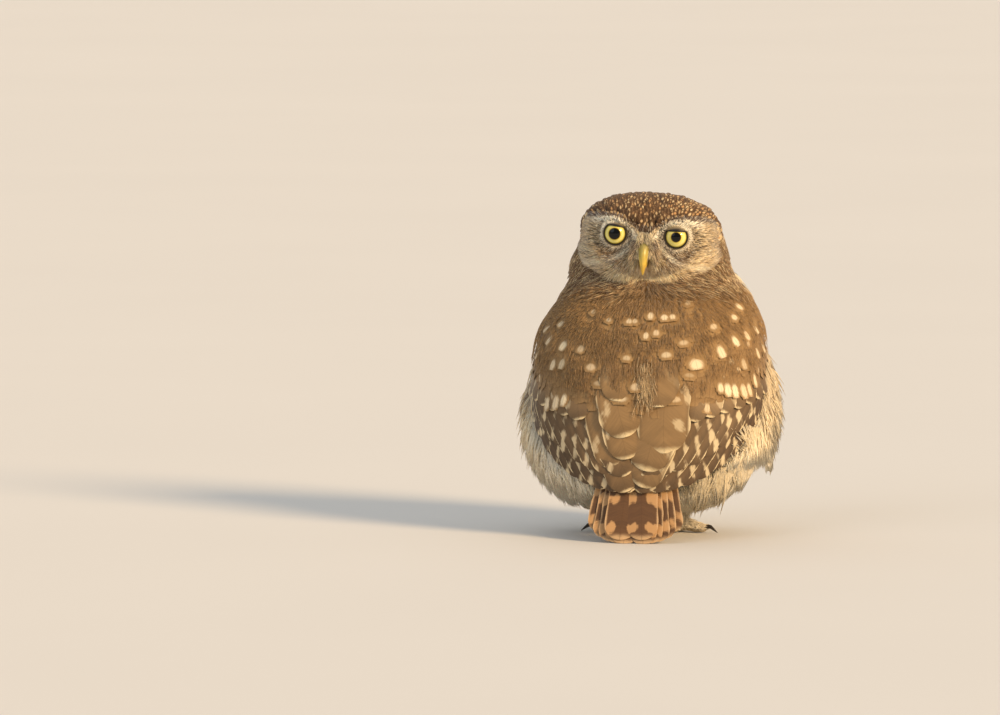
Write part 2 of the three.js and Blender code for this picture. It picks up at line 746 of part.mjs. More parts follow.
// Head, eyes and bill
const upper = billUpper(0).subtract(join(nostrils()));
const lower = billLower(0).subtract(billUpper(gap));
const eyes = sides.map(({ side }) => eyeball(side, 0));
const head = join([headForm(0), ...sides.map(({ side }) => eyelids(side))])
  .subtract(join(sides.map(({ side }) => eyeball(side, gap))))
  .subtract(billUpper(gap))
  .subtract(billLower(gap));
addPiece("head", headPlaced(head), finishes.crown);
addPiece("bill_upper", headPlaced(upper), finishes.horn);
addPiece("bill_lower", headPlaced(lower), finishes.horn);
sides.forEach(({ word }, i) => addPiece(`eye_${word}`, headPlaced(eyes[i]), finishes.iris));

// Neck and body
const whole = sectionForm(bodySections, 0, bodyBottom, bodyTop, 14, 26);
addPiece(
  "neck",
  whole.trimByPlane([0, 0, 1], neckHeight).subtract(headPlaced(headForm(gap))),
  finishes.mantle,
);
const frontClearance = 0.5; // degrees, in front of the wing's bend
const recessEdges = wingOutline.map(({ angle, high, tips }, i) => {
  return { angle: i ? angle : angle + frontClearance, high, low: tips };
});
const recesses = sides.map(({ side }) => wingSpace(side, recessEdges, gap));
const coat = join([whole, ...bellyLocks()]).subtract(join(recesses));
const torso = join([coreForm(0), coat])
  .trimByPlane([0, 0, -1], gap - neckHeight)
  .subtract(tailRoom())
  .subtract(join(sides.map(({ side }) => legForm(side, gap))));
addPiece("torso", torso, finishes.belly);

sides.forEach(({ side, word }) => addPiece(`wing_${word}`, wing(side, coreForm(gap)), finishes.flight));
addPiece("tail", aboveFloor(tail()), finishes.tail);

for (const { side, word } of sides) {
  const feet = join(toes.map((spec) => toe(side, spec)));
  const claws = toes.map((spec) => claw(side, spec, 0));
  const foot = feet.subtract(join(toes.map((spec) => claw(side, spec, gap))));
  const ankle = 6;
  const leg = legForm(side, 0).subtract(feet).trimByPlane([0, 0, 1], ankle);
  addPiece(`leg_${word}`, leg, finishes.belly);
  const hock = legForm(side, gap).trimByPlane([0, 0, 1], ankle - gap);
  addPiece(`foot_${word}`, aboveFloor(foot).subtract(hock), finishes.toe);
  toes.forEach(({ name }, i) => addPiece(`claw_${word}_${name}`, aboveFloor(claws[i]), finishes.claw));
}

// The origin lies on the floor under the middle of the bounding box
const box = new THREE.Box3().setFromObject(owl);
const middle = box.getCenter(vector(0, 0, 0));
owl.position.set(-middle.x, -middle.y, -box.min.z);

export default owl;
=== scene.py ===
# A little owl at life size, seen from behind with its head turned right round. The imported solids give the
# place and size of every part; this script dresses them in skin, feathers, eyes, bill and claws.
import math

import bmesh
import bpy
import numpy as np
from mathutils import Matrix, Vector
from mathutils.kdtree import KDTree


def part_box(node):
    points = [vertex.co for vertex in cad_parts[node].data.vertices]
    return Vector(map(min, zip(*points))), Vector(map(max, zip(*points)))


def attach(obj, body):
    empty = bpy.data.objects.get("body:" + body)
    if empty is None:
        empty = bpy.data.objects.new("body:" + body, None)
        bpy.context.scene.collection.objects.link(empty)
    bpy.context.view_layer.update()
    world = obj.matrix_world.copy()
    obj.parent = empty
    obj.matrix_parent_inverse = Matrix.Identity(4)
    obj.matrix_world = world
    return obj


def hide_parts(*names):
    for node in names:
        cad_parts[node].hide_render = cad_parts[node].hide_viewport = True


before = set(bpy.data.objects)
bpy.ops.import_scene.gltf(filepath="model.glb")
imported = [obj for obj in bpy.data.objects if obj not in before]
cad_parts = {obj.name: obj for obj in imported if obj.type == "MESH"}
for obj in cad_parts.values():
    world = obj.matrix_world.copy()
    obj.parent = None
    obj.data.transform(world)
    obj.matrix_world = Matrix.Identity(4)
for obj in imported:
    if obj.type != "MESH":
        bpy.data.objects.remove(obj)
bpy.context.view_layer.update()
draw = np.random.default_rng(11)  # every random choice comes from here, in the same order each time
mm = 0.001
pi = math.pi


# Small helpers

def lerp(a, b, t):
    return a + (b - a) * t


def smooth(x, low, high):
    t = np.clip((x - low) / (high - low), 0, 1)
    return t * t * (3 - 2 * t)


def unit(v):
    return v / np.maximum(np.linalg.norm(v, axis=-1, keepdims=True), 1e-9)


def colour(text):
    srgb = np.array([int(text[i : i + 2], 16) / 255 for i in (1, 3, 5)])
    return np.where(srgb <= 0.04045, srgb / 12.92, ((srgb + 0.055) / 1.055) ** 2.4)


def mix(a, b, share):
    share = np.asarray(share, float)[..., None]
    return a * (1 - share) + b * share


def vec(*columns):
    return np.stack(np.broadcast_arrays(*columns), -1).astype(float)


def jitter(count, spread):
    return 1 + spread * draw.uniform(-1, 1, count)


# The body's form in millimetres: height, half width, depth behind and in front, middle
bodyRows = np.array([
    (13, 24, 18, 18, -2), (17, 37, 29, 30, -2), (24, 48, 39, 39, -2), (34, 58, 48, 46, -2),
    (46, 65, 55, 52, -1), (60, 69, 58, 56, 0), (74, 69.5, 59, 58, 1), (88, 68.3, 59, 58.5, 2),
    (101, 66.4, 57, 56, 2), (113, 64.4, 53.5, 52.5, 2), (124, 60.8, 48.5, 48, 2), (132, 56, 43, 44, 2),
    (140, 50.8, 36.5, 40, 2), (149, 46.2, 28.5, 36, 2), (158, 41.4, 20, 32.5, 2), (163, 37, 15, 29, 2),
    (167, 31, 11, 24, 2),
], float)
# The folded wings' outer face hangs further back below the rump
cloakRows = bodyRows.copy()
lowRows = cloakRows[:, 0] < 80
cloakRows[lowRows, 2] = cloakRows[lowRows, 4] + lerp(62.8, 60, cloakRows[lowRows, 0] / 80)


def tableValue(rows, column, z):
    heights, values = rows[:, 0], rows[:, column]
    above, below = np.r_[heights[1:], heights[-1]], np.r_[heights[0], heights[:-1]]
    slopes = (np.r_[values[1:], values[-1]] - np.r_[values[0], values[:-1]]) / (above - below)
    z = np.clip(z, heights[0], heights[-1])
    i = np.clip(np.searchsorted(heights, z, side="right") - 1, 0, len(rows) - 2)
    step = heights[i + 1] - heights[i]
    t = (z - heights[i]) / step
    rise, start, end = values[i + 1] - values[i], slopes[i] * step, slopes[i + 1] * step
    return values[i] + start * t + (3 * rise - 2 * start - end) * t**2 + (start + end - 2 * rise) * t**3


def bodyLean(z):
    return 3.4 * smooth(z, 105, 142) - 1.2 * smooth(z, 148, 162)


# Angles are 0 at the right side, -90 degrees at the back and 90 at the breast
def bodyPoint(angle, z, out=0.0, rows=bodyRows):
    angle, z, out = np.broadcast_arrays(*(np.asarray(v, float) for v in (angle, z, out)))
    c, s, power = np.cos(angle), np.sin(angle), 2.15
    halfWidth = tableValue(rows, 1, z) + out
    depth = np.where(s < 0, tableValue(rows, 2, z), tableValue(rows, 3, z)) + out
    reach = (np.abs(c / halfWidth) ** power + np.abs(s / depth) ** power) ** (-1 / power)
    return vec(bodyLean(z) + reach * c, tableValue(rows, 4, z) + reach * s, z)


def levelStep(angle, z, rows, step=0.02):  # across a place of the body, at its own height
    return bodyPoint(angle + step, z, 0, rows) - bodyPoint(angle - step, z, 0, rows)


def girthAt(angle, z, rows):  # millimetres of surface in one radian
    return np.linalg.norm(levelStep(angle, z, rows), axis=-1) / 0.04


def bodyFrame(angle, z, rows=bodyRows):
    level = levelStep(angle, z, rows)
    rise = bodyPoint(angle, z + 1, 0, rows) - bodyPoint(angle, z - 1, 0, rows)
    return unit(level), unit(-rise), unit(np.cross(level, rise))


def bodyDepth(points):  # how deep a point lies under the body's surface
    z = points[..., 2]
    lean, middle = bodyLean(z), tableValue(bodyRows, 4, z)
    x, y = points[..., 0] - lean, points[..., 1] - middle
    surface = bodyPoint(np.arctan2(y, x), z)
    reach = np.hypot(surface[..., 0] - lean, surface[..., 1] - middle)
    return np.where(z < 166, reach - np.hypot(x, y), -9)


# The head's form, in its own frame with the face towards -Y
headShape = {
    "centre": np.array([0.6, -3, 169.0]),
    "roll": 2.8, "yaw": 2.7,  # degrees
    "halfWidth": 40.5, "top": 24.8, "bottom": 25.0,
    "faceDepth": 31.0, "napeDepth": 32.0,
    "eyeSpread": 17.2, "eyeRise": 3.2, "eyeballRadius": 8.6,
}
rollAngle, yawAngle = math.radians(headShape["roll"]), math.radians(headShape["yaw"])
headTurn = np.array([
    [math.cos(yawAngle), -math.sin(yawAngle), 0], [math.sin(yawAngle), math.cos(yawAngle), 0], [0, 0, 1],
]) @ np.array([
    [math.cos(rollAngle), 0, math.sin(rollAngle)], [0, 1, 0], [-math.sin(rollAngle), 0, math.cos(rollAngle)],
])


def headPlaced(points):
    return points @ headTurn.T + headShape["centre"]


def headUnplaced(points):
    return (points - headShape["centre"]) @ headTurn


def hump(side, z, centreX, centreZ, radiusX, radiusZ):
    return np.exp(-(((side - centreX) / radiusX) ** 2) - ((z - centreZ) / radiusZ) ** 2)


def eyeDistance(x, z):
    return np.hypot(np.abs(x) - headShape["eyeSpread"], z - headShape["eyeRise"])


def faceRelief(x, z):  # how far the face stands forward of the plain head
    side, away = np.abs(x), eyeDistance(x, z)
    disc = -2.6 * np.exp(-((away / 9.5) ** 2))
    rim = 1.1 * np.exp(-(((away - 15.5) / 3.5) ** 2)) * np.where(z < 3, 1, 0.3)
    brow = 3.4 * hump(side, z, 13, 11, 9, 4.2) + 2.2 * hump(side, z, 4.5, 4, 4, 5)
    brow = brow + 1.8 * hump(side, z, 25, 12.5, 8, 4.5)
    muzzle = 4.2 * hump(side, z, 0, -9, 7.5, 8.5) + 2 * hump(side, z, 9, -15, 9, 6)
    return disc + rim + brow + muzzle


# turn goes round the axis of the face, away runs from 0 at the face's middle to pi at the nape
def headPoint(turn, away, out=0.0):
    turn, away = np.broadcast_arrays(np.asarray(turn, float), np.asarray(away, float))
    front = away < pi / 2
    share = np.abs(np.sin(away)) ** (2 / np.where(front, 2.5, 2.2))
    square = lambda v: np.sign(v) * np.abs(v) ** (2 / 2.35)
    tall = np.where(np.sin(turn) > 0, headShape["top"], headShape["bottom"]) + out
    x = (headShape["halfWidth"] + out) * share * square(np.cos(turn))
    z = tall * share * square(np.sin(turn))
    x = x * (1 + 0.06 * smooth(-z, 0, headShape["bottom"] / 2))
    curve = np.where(front, lerp(2.5, 3.8, smooth(-z, 0, headShape["bottom"] * 0.6)), 2.2)
    deep = np.clip(1 - share**curve, 0, 1) ** (1 / curve)
    relief = (1 - smooth(share, 0.72, 0.96)) * faceRelief(x, z)
    face, nape = headShape["faceDepth"] + out, headShape["napeDepth"] + out
    return vec(x, np.where(front, -face * deep - relief, nape * deep), z)


def headFrame(turn, away):
    sideways = headPoint(turn + 0.01, away) - headPoint(turn - 0.01, away)
    back = headPoint(turn, away + 0.01) - headPoint(turn, np.maximum(away - 0.01, 0.002))
    normal = unit(np.cross(sideways, back))
    normal = normal * np.sign(np.sum(normal * headPoint(turn, away), -1, keepdims=True))
    return unit(back), normal


def headShare(across, z):  # 0 at the face's middle and 1 on the head's outline
    tall = np.where(z > 0, headShape["top"], headShape["bottom"])
    return (np.abs(across / headShape["halfWidth"]) ** 2.35 + np.abs(z / tall) ** 2.35) ** (1 / 2.35)


def headDepthOf(points):  # how deep a point of the head's frame lies in the plain head, roughly
    share = headShare(points[..., 0], points[..., 2])
    deep = np.where(points[..., 1] < 0, headShape["faceDepth"], headShape["napeDepth"])
    return 30 * (1 - (share**2.4 + np.abs(points[..., 1] / deep) ** 2.4) ** (1 / 2.4))


# The frame's origin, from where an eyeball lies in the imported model
eyeLocal = {
    side: np.array([side * headShape["eyeSpread"], 7.4 - headShape["faceDepth"], headShape["eyeRise"]])
    for side in (1, -1)
}
eyeLow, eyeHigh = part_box("eye_right")
shift = (np.array(eyeLow) + np.array(eyeHigh)) / 2 / mm - headPlaced(eyeLocal[1])


def placed(points):  # millimetres of the owl's form to metres of the frame
    return (np.asarray(points, float) + shift) * mm


# Every tuft's place on the bake map: the body unrolled round its height, the head spread round its face
def bakePlace(points, onHead):
    if onHead:
        local = headUnplaced(points)
        far = np.maximum(np.linalg.norm(local, axis=-1), 1e-6)
        away = np.arccos(np.clip(-local[..., 1] / far, -1, 1)) / pi
        turn = np.arctan2(local[..., 2], local[..., 0])
        return vec(0.5 + 0.48 * away * np.cos(turn), 0.76 + 0.22 * away * np.sin(turn))
    angle = np.arctan2(points[..., 1], points[..., 0])
    fromBack = (angle + 1.5 * pi) % (2 * pi) - pi
    return vec(0.5 + 0.47 * fromBack / pi, 0.02 + 0.48 * np.clip(points[..., 2] / 170, 0, 1))


# Nodes and materials. A value can be another node, a Wire, a plain number or a colour written "#rrggbb".

def rgba(text):
    return (*colour(text), 1.0)


def add(tree, kind, links=None, **settings):
    made = tree.nodes.new(kind)
    for key, value in settings.items():
        setattr(made, key, value)
    for socket, value in (links or {}).items():
        value = getattr(value, "socket", value)
        if isinstance(value, bpy.types.Node):
            value = value.outputs[0]
        if isinstance(value, bpy.types.NodeSocket):
            tree.links.new(value, made.inputs[socket])
        else:
            made.inputs[socket].default_value = rgba(value) if str(value)[:1] == "#" else value
    return made


class Wire:  # one output in a node tree, so that sums of outputs can be written as sums
    def __init__(self, tree, socket):
        self.tree, self.socket = tree, socket

    def to(self, kind, links=None, output=0, **settings):
        made = add(self.tree, "ShaderNode" + kind, {0: self, **(links or {})}, **settings)
        return Wire(self.tree, made.outputs[output])

    def math(self, operation, *others):
        return self.to("Math", dict(enumerate(others, 1)), operation=operation)

    def __add__(self, other):
        return self.math("ADD", other)

    def __sub__(self, other):
        return self.math("SUBTRACT", other)

    def __mul__(self, other):
        return self.math("MULTIPLY", other)

    def __truediv__(self, other):
        return self.math("DIVIDE", other)

    def size(self):
        return self.math("ABSOLUTE")

    def split(self):
        return [Wire(self.tree, part) for part in add(self.tree, "ShaderNodeSeparateXYZ", {0: self}).outputs]

    def join(self, y, z):
        return self.to("CombineXYZ", {1: y, 2: z})

    def vector(self, operation, other=(0.0, 0.0, 0.0), output=0):
        return self.to("VectorMath", {1: other}, output, operation=operation)

    def times(self, factor):  # a colour or a vector, scaled
        return self.to("VectorMath", {"Scale": factor}, operation="SCALE")

    def noise(self, scale, detail, roughness=0.5):
        return self.to("TexNoise", {"Scale": scale, "Detail": detail, "Roughness": roughness})

    def ranged(self, low, high, first, last, kind="LINEAR"):
        return self.to("MapRange", {1: low, 2: high, 3: first, 4: last}, interpolation_type=kind)

    def eased(self, low, high, first, last):
        return self.ranged(low, high, first, last, "SMOOTHSTEP")

    def around(self, spread):  # noise turned into a factor near 1; spread is its low and its high end
        return self.ranged(0.3, 0.7, *spread)

    def between(self, first, last):  # from the first colour at 0 to the last at 1
        made = add(self.tree, "ShaderNodeMix", {"Factor": self, 6: first, 7: last}, data_type="RGBA")
        return Wire(self.tree, made.outputs[2])

    def ramp(self, *stops):
        made = add(self.tree, "ShaderNodeValToRGB", {0: self})
        bar = made.color_ramp.elements
        while len(bar) < len(stops):
            bar.new(0.5)
        for element, (at, tone) in zip(bar, stops):
            element.position, element.color = at, rgba(tone)
        return Wire(self.tree, made.outputs[0])


class Finish:  # a material while its nodes are laid out
    def __init__(self, name):
        self.material = bpy.data.materials.new(name)
        self.material.use_nodes = True
        self.tree = self.material.node_tree
        self.tree.nodes.clear()

    def wire(self, kind, output=0, links=None, **settings):
        return Wire(self.tree, add(self.tree, "ShaderNode" + kind, links, **settings).outputs[output])

    def tint(self):
        return self.wire("Attribute", attribute_name="tint")

    def parts(self, name):  # the three numbers of an attribute
        return self.wire("Attribute", "Vector", attribute_name=name).split()

    def flat(self, name):
        return self.wire("UVMap", uv_map=name)

    def where(self):  # the place on the piece itself, in metres
        return self.wire("TexCoord", "Object")

    def done(self, base, roughness, bump=None, **constants):
        shader = add(self.tree, "ShaderNodeBsdfPrincipled", {"Base Color": base, "Roughness": roughness, **constants})
        if bump:
            links = dict(zip(("Height", "Strength", "Distance"), bump))
            self.tree.links.new(add(self.tree, "ShaderNodeBump", links).outputs[0], shader.inputs["Normal"])
        add(self.tree, "ShaderNodeOutputMaterial", {0: shader})
        return self.material


barbDepth = 0.12 * mm


# Keratin vane of a contour feather: dull, with barbs that leave the shaft at about 42 degrees. Real barbs are
# 0.3 mm apart and are drawn at 0.6 mm, so that they show. The mark attribute sets the pale spot's strength and
# its half width and half length as shares of the vane; span holds the vane's size in millimetres and a draw.
def vaneMaterial(name, look):
    look = {"edgeFrom": 0.8, "spotAt": 0.76, "spotVary": 0.25, "bump": 0.4, **look}
    finish = Finish(name)
    (wide, long, chance), (strength, halfWide, halfLong) = finish.parts("span"), finish.parts("mark")
    u, v, _ = finish.flat("vane").split()
    across = u - 0.5
    sideMm = across.size() * wide
    barb = v * long - sideMm * 1.1
    streak = (barb * (1 / look["barbMm"])).join(sideMm * 0.22, chance * 40.0).noise(1.0, 3.0, 0.6)
    shade = streak.around((1 - look["contrast"], 1 + look["contrast"]))
    # Paler towards the edge and the tip
    rim = (across.size() * 2.0).math("MAXIMUM", v) + (streak - 0.5) * 0.22
    base = rim.eased(look["edgeFrom"], 1.0, 0.0, look["edge"]).between(finish.tint(), look["edgeColour"])
    base = rim.eased(0.1, 0.7, look["core"], 0.0).between(base, look["coreColour"]).times(shade)
    # The pale spot, with an edge that runs out along the barbs
    aside, ahead = across / halfWide, (v - look["spotAt"]) / halfLong
    ring = (aside * aside + ahead * ahead).math("SQRT") + (streak - 0.5) * 0.9
    spotTint = (chance * look["spotVary"]).between(look["spotColour"], "#c08a50").times(shade * 0.5 + 0.5)
    base = (ring.eased(0.5, 1.12, 1.0, 0.0) * strength).between(base, spotTint)
    base = sideMm.ranged(0.1, 0.28, look["shaft"], 0.0).between(base, look["shaftColour"])
    return finish.done(base, 0.72, (streak, look["bump"], barbDepth), **{
        "Specular IOR Level": 0.3, "Sheen Weight": 0.12, "Sheen Roughness": 0.5})


# Down and loose barbs: soft keratin threads, matt, a little darker at the root where they lie in shade
def downMaterial(name, rootShade, tipShade):
    finish = Finish(name)
    shade = finish.flat("vane").split()[1].ranged(0.0, 0.8, rootShade, tipShade)
    base = finish.tint().times(shade * finish.where().noise(900.0, 2.0).around((0.88, 1.12)))
    return finish.done(base, 0.85, **{"Specular IOR Level": 0.2, "Sheen Weight": 0.25, "Sheen Roughness": 0.6})


# Meshes

def linked(name, data):
    made = bpy.data.objects.new(name, data)
    bpy.context.scene.collection.objects.link(made)
    return made


def meshObject(name, points, faces, faceSmooth=True):
    mesh = bpy.data.meshes.new(name)
    mesh.from_pydata([tuple(p) for p in points], [], [tuple(int(i) for i in f) for f in faces])
    mesh.validate()
    if faceSmooth:
        mesh.shade_smooth()
    else:
        mesh.shade_flat()
    return linked(name, mesh)


def setAttribute(mesh, name, kind, domain, values):
    slot = mesh.attributes.get(name) or mesh.attributes.new(name, kind, domain)
    field = "color" if kind == "FLOAT_COLOR" else "vector"
    slot.data.foreach_set(field, np.ascontiguousarray(values, dtype=np.float32).ravel())


def setCorners(mesh, name, values):  # a UV map from one place for each vertex
    index = np.empty(len(mesh.loops), np.int32)
    mesh.loops.foreach_get("vertex_index", index)
    setAttribute(mesh, name, "FLOAT2", "CORNER", np.asarray(values)[index])


def setTint(mesh, tint):
    setAttribute(mesh, "tint", "FLOAT_COLOR", "POINT", np.c_[np.clip(tint, 0, 1), np.ones(len(tint))])


def meshPoints(mesh):
    flat = np.empty(len(mesh.vertices) * 3, np.float32)
    mesh.vertices.foreach_get("co", flat)
    return flat.reshape(-1, 3).astype(float)


def movePoints(mesh, points):
    mesh.vertices.foreach_set("co", np.ascontiguousarray(points, np.float32).ravel())


def settled(source, name):  # the mesh that an object's modifiers make; the object itself goes
    bpy.context.view_layer.update()
    mesh = bpy.data.meshes.new_from_object(source.evaluated_get(bpy.context.evaluated_depsgraph_get()))
    bpy.data.objects.remove(source)
    mesh.name = name
    return mesh


def keepPiece(obj, nodes=()):
    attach(obj, "root")
    if nodes:
        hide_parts(*nodes)


# Feather shapes, one unit long and one wide, which the coat is made of

def vaneShape(name, stations, tooth, camber, curl, tipRound=0.5):
    def halfAt(y):
        grow = 0.42 + 0.58 * math.sin(min(y / 0.55, 1) * pi / 2)
        close = math.sqrt(max(1 - max((y - 0.6) / 0.42, 0) ** 2.3, 0.0))
        return 0.5 * grow * close
    points, uv, top, under = [], [], [], []

    def point(x, y, lift=0.0):
        half = max(halfAt(min(y, 0.97)), 0.06)
        sag = -camber * (abs(x) / 0.5) ** 2
        points.append((x, y, lift + sag - curl * y * y))
        uv.append((x + 0.5, y))
        return len(points) - 1
    spine = [point(0, y, 0.012) for y in stations]
    tip = point(0, 1.0, 0)
    edges = {}
    for side in (-1, 1):
        row = []
        for k, y in enumerate(stations):
            row.append(point(side * halfAt(y) * 0.93, y))
            nextY = stations[k + 1] if k + 1 < len(stations) else 1.0
            middleY = lerp(y, nextY, 0.62)
            row.append(point(side * max(halfAt(middleY), 0.09) * 1.05, min(middleY + tooth, 1.0)))
        edges[side] = row
        for k in range(len(stations)):
            s, n, t = spine[k], row[2 * k], row[2 * k + 1]
            after = spine[k + 1] if k + 1 < len(stations) else tip
            tris = [(s, n, t), (s, t, after)]
            if k + 1 < len(stations):
                tris.append((after, t, row[2 * k + 2]))
            top += [tri if side > 0 else tri[::-1] for tri in tris]
    # The under side, on points of its own so that the two shade apart
    base = {}
    for index in edges[-1] + edges[1] + [tip]:
        x, y, z = points[index]
        points.append((x, y, z))
        uv.append(uv[index])
        base[index] = len(points) - 1
    left, right = [base[i] for i in edges[-1]], [base[i] for i in edges[1]]
    for k in range(len(left) - 1):
        under.append((left[k], right[k], right[k + 1], left[k + 1])[::-1])
    under.append((left[-1], base[tip], right[-1]))
    start = (edges[-1][0], spine[0], edges[1][0])
    points += [points[i] for i in start]
    uv += [uv[i] for i in start]
    under.append(tuple(len(points) - 3 + i for i in (0, 2, 1)))
    return shapeObject(name, points, top + under, uv)


def shapeObject(name, points, faces, uv):
    obj = meshObject(name, points, faces)
    setCorners(obj.data, "vane", uv)
    obj.hide_render = obj.hide_viewport = True
    return obj


def strandShape(name, rings, bow, flat=0.45):
    points, faces, uv = [], [], []
    for k, (t, width) in enumerate(rings):
        lift = bow * 4 * t * (1 - t)
        if width == 0:
            points.append((0, t, lift))
            uv.append((0.5, t))
            continue
        for x, z in ((-0.5, 0), (0.5, 0), (0, flat)):
            points.append((x * width, t, lift + z * width * 0.1))
            uv.append((x * width + 0.5, t))
    full = len([1 for _, width in rings if width])
    for k in range(full - 1):
        for j in range(3):
            a, b, c, d = 3 * k + j, 3 * k + (j + 1) % 3, 3 * k + 3 + (j + 1) % 3, 3 * k + 3 + j
            faces.append((a, b, c, d))
    last = 3 * (full - 1)
    faces += [(last + j, last + (j + 1) % 3, len(points) - 1) for j in range(3)] + [(0, 2, 1)]
    return shapeObject(name, points, faces, uv)


# Geometry nodes that set one feather on every root, turned to its lie, and give each a patch on the bake map
def plantingTree():
    tree = bpy.data.node_groups.new("plantFeathers", "GeometryNodeTree")
    for name, kind, value in (
        ("Roots", "Geometry", None), ("Feather", "Object", None), ("Finish", "Material", None),
        ("Length spread", "Float", 0.1), ("Turn spread", "Float", 0.1), ("Patch size", "Float", 0.003), ("Seed", "Int", 3),
    ):
        socket = tree.interface.new_socket(name=name, in_out="INPUT", socket_type="NodeSocket" + kind)
        if value is not None:
            socket.default_value = value
    tree.interface.new_socket(name="Geometry", in_out="OUTPUT", socket_type="NodeSocketGeometry")
    given = {socket.name: Wire(tree, socket) for socket in add(tree, "NodeGroupInput").outputs}

    def named(name):
        return Wire(tree, add(tree, "GeometryNodeInputNamedAttribute", {"Name": name}, data_type="FLOAT_VECTOR").outputs[0])

    def random(low, high):
        return Wire(tree, add(tree, "FunctionNodeRandomValue", {2: low, 3: high, "Seed": given["Seed"]}).outputs[1])

    feather = add(tree, "GeometryNodeObjectInfo", {"Object": given["Feather"], "As Instance": True})
    facing = add(tree, "FunctionNodeAxesToRotation", {0: named("lie"), 1: named("out")},
                 primary_axis="Y", secondary_axis="Z")
    turn = random(given["Turn spread"] * -1.0, given["Turn spread"])
    spin = add(tree, "FunctionNodeEulerToRotation", {0: add(tree, "ShaderNodeCombineXYZ", {2: turn})})
    rotation = add(tree, "FunctionNodeRotateRotation", {0: facing, 1: spin}, rotation_space="LOCAL")
    shorter = given["Length spread"] * -1.0 + 1.0
    planted = add(tree, "GeometryNodeInstanceOnPoints", {
        "Points": given["Roots"], "Instance": feather.outputs["Geometry"], "Rotation": rotation,
        "Scale": named("size").times(random(shorter, given["Length spread"] + 1.0))})
    real = add(tree, "GeometryNodeRealizeInstances", {0: planted})
    patch = named("vane").vector("SUBTRACT", (0.5, 0.5, 0.0)).times(given["Patch size"])
    stored = add(tree, "GeometryNodeStoreNamedAttribute", {
        "Geometry": real, "Name": "OFBake", "Value": named("patch").vector("ADD", patch)},
        data_type="FLOAT2", domain="CORNER")
    final = add(tree, "GeometryNodeSetMaterial", {"Geometry": stored, "Material": given["Finish"]})
    add(tree, "NodeGroupOutput", {0: final})
    return tree


planting = plantingTree()


# Sets one shape on every site. A site has its root, lie and outward direction in millimetres of the owl's form.
def plant(name, shape, sites, finish, lengthSpread, turnSpread, seed):
    count = len(sites["at"])
    roots = bpy.data.meshes.new(name + "Roots")
    roots.vertices.add(count)
    movePoints(roots, placed(sites["at"]))
    width, length = sites["width"], sites["length"]
    for key, values in {
        "lie": sites["lie"], "out": sites["out"], "size": vec(width, length, length) * mm,
        "span": vec(width, length, draw.uniform(0, 1, count)), "mark": sites.get("mark", np.tile(noSpot, (count, 1))),
        "patch": np.c_[bakePlace(sites["at"], sites["onHead"]), np.zeros(count)],
    }.items():
        setAttribute(roots, key, "FLOAT_VECTOR", "POINT", values)
    setTint(roots, sites["tint"])
    holder = linked(name + "Roots", roots)
    planter = holder.modifiers.new("plant", "NODES")
    planter.node_group = planting
    inputs = {item.name: item.identifier for item in planting.interface.items_tree if item.in_out == "INPUT"}
    for key, value in (("Feather", shapes[shape]), ("Finish", finish), ("Length spread", lengthSpread),
                       ("Turn spread", turnSpread), ("Seed", seed)):
        planter[inputs[key]] = value
    holder.update_tag()
    real = settled(holder, name)
    for extra in ("lie", "out", "size", "patch"):
        if extra in real.attributes:
            real.attributes.remove(real.attributes[extra])
    keepPiece(linked(name, real))
    print(name, count, "feathers,", len(real.polygons), "faces")


noSpot = (0, 0.3, 0.2)


def randomMarks(count, share, strength, wide, long):  # a pale spot's strength, half width and half length
    chance = draw.uniform(0, 1, count) < share
    return vec(chance * draw.uniform(*strength, count), draw.uniform(*wide, count), draw.uniform(*long, count))


def joinSites(*groups):
    keys = ("at", "lie", "out", "width", "length", "tint", "mark")
    return {"onHead": groups[0]["onHead"], **{key: np.concatenate([g[key] for g in groups]) for key in keys}}


def pick(sites, keep):
    return {key: value[keep] if np.ndim(value) else value for key, value in sites.items()}


# Keeps points that are at least a spacing apart, in a fixed random order
def thinned(points, spacing):
    spacing = np.broadcast_to(spacing, len(points))
    cellSize = float(spacing.max())
    around = [(a, b, c) for a in (-1, 0, 1) for b in (-1, 0, 1) for c in (-1, 0, 1)]
    taken, kept = {}, []
    for i in draw.permutation(len(points)):
        p, s = points[i], spacing[i]
        x, y, z = (p // cellSize).astype(int)
        near = [q for a, b, c in around for q in taken.get((x + a, y + b, z + c), ())]
        if all((p[0] - q[0]) ** 2 + (p[1] - q[1]) ** 2 + (p[2] - q[2]) ** 2 > s * s for q in near):
            taken.setdefault((x, y, z), []).append(p)
            kept.append(i)
    return np.array(kept)


# Random angles and heights spread evenly over the body's surface
def bodyScatter(count, low, high, rows=bodyRows):
    angle, z = draw.uniform(-pi, pi, count * 3), draw.uniform(low, high, count * 3)
    rise = bodyPoint(angle, z + 0.5, 0, rows) - bodyPoint(angle, z - 0.5, 0, rows)
    area = np.linalg.norm(levelStep(angle, z, rows, 0.01), axis=-1) * np.linalg.norm(rise, axis=-1)
    keep = draw.uniform(0, 1, len(angle)) < area / area.max()
    return angle[keep][:count], z[keep][:count]


def headScatter(count):
    turn, away = draw.uniform(-pi, pi, count * 6), draw.uniform(0.03, pi - 0.05, count * 6)
    sideways = headPoint(turn + 0.01, away) - headPoint(turn - 0.01, away)
    back = headPoint(turn, away + 0.01) - headPoint(turn, away - 0.01)
    area = np.linalg.norm(np.cross(sideways, back), axis=-1)
    keep = draw.uniform(0, 1, len(turn)) < area / np.quantile(area, 0.98)
    return turn[keep][:count], away[keep][:count]


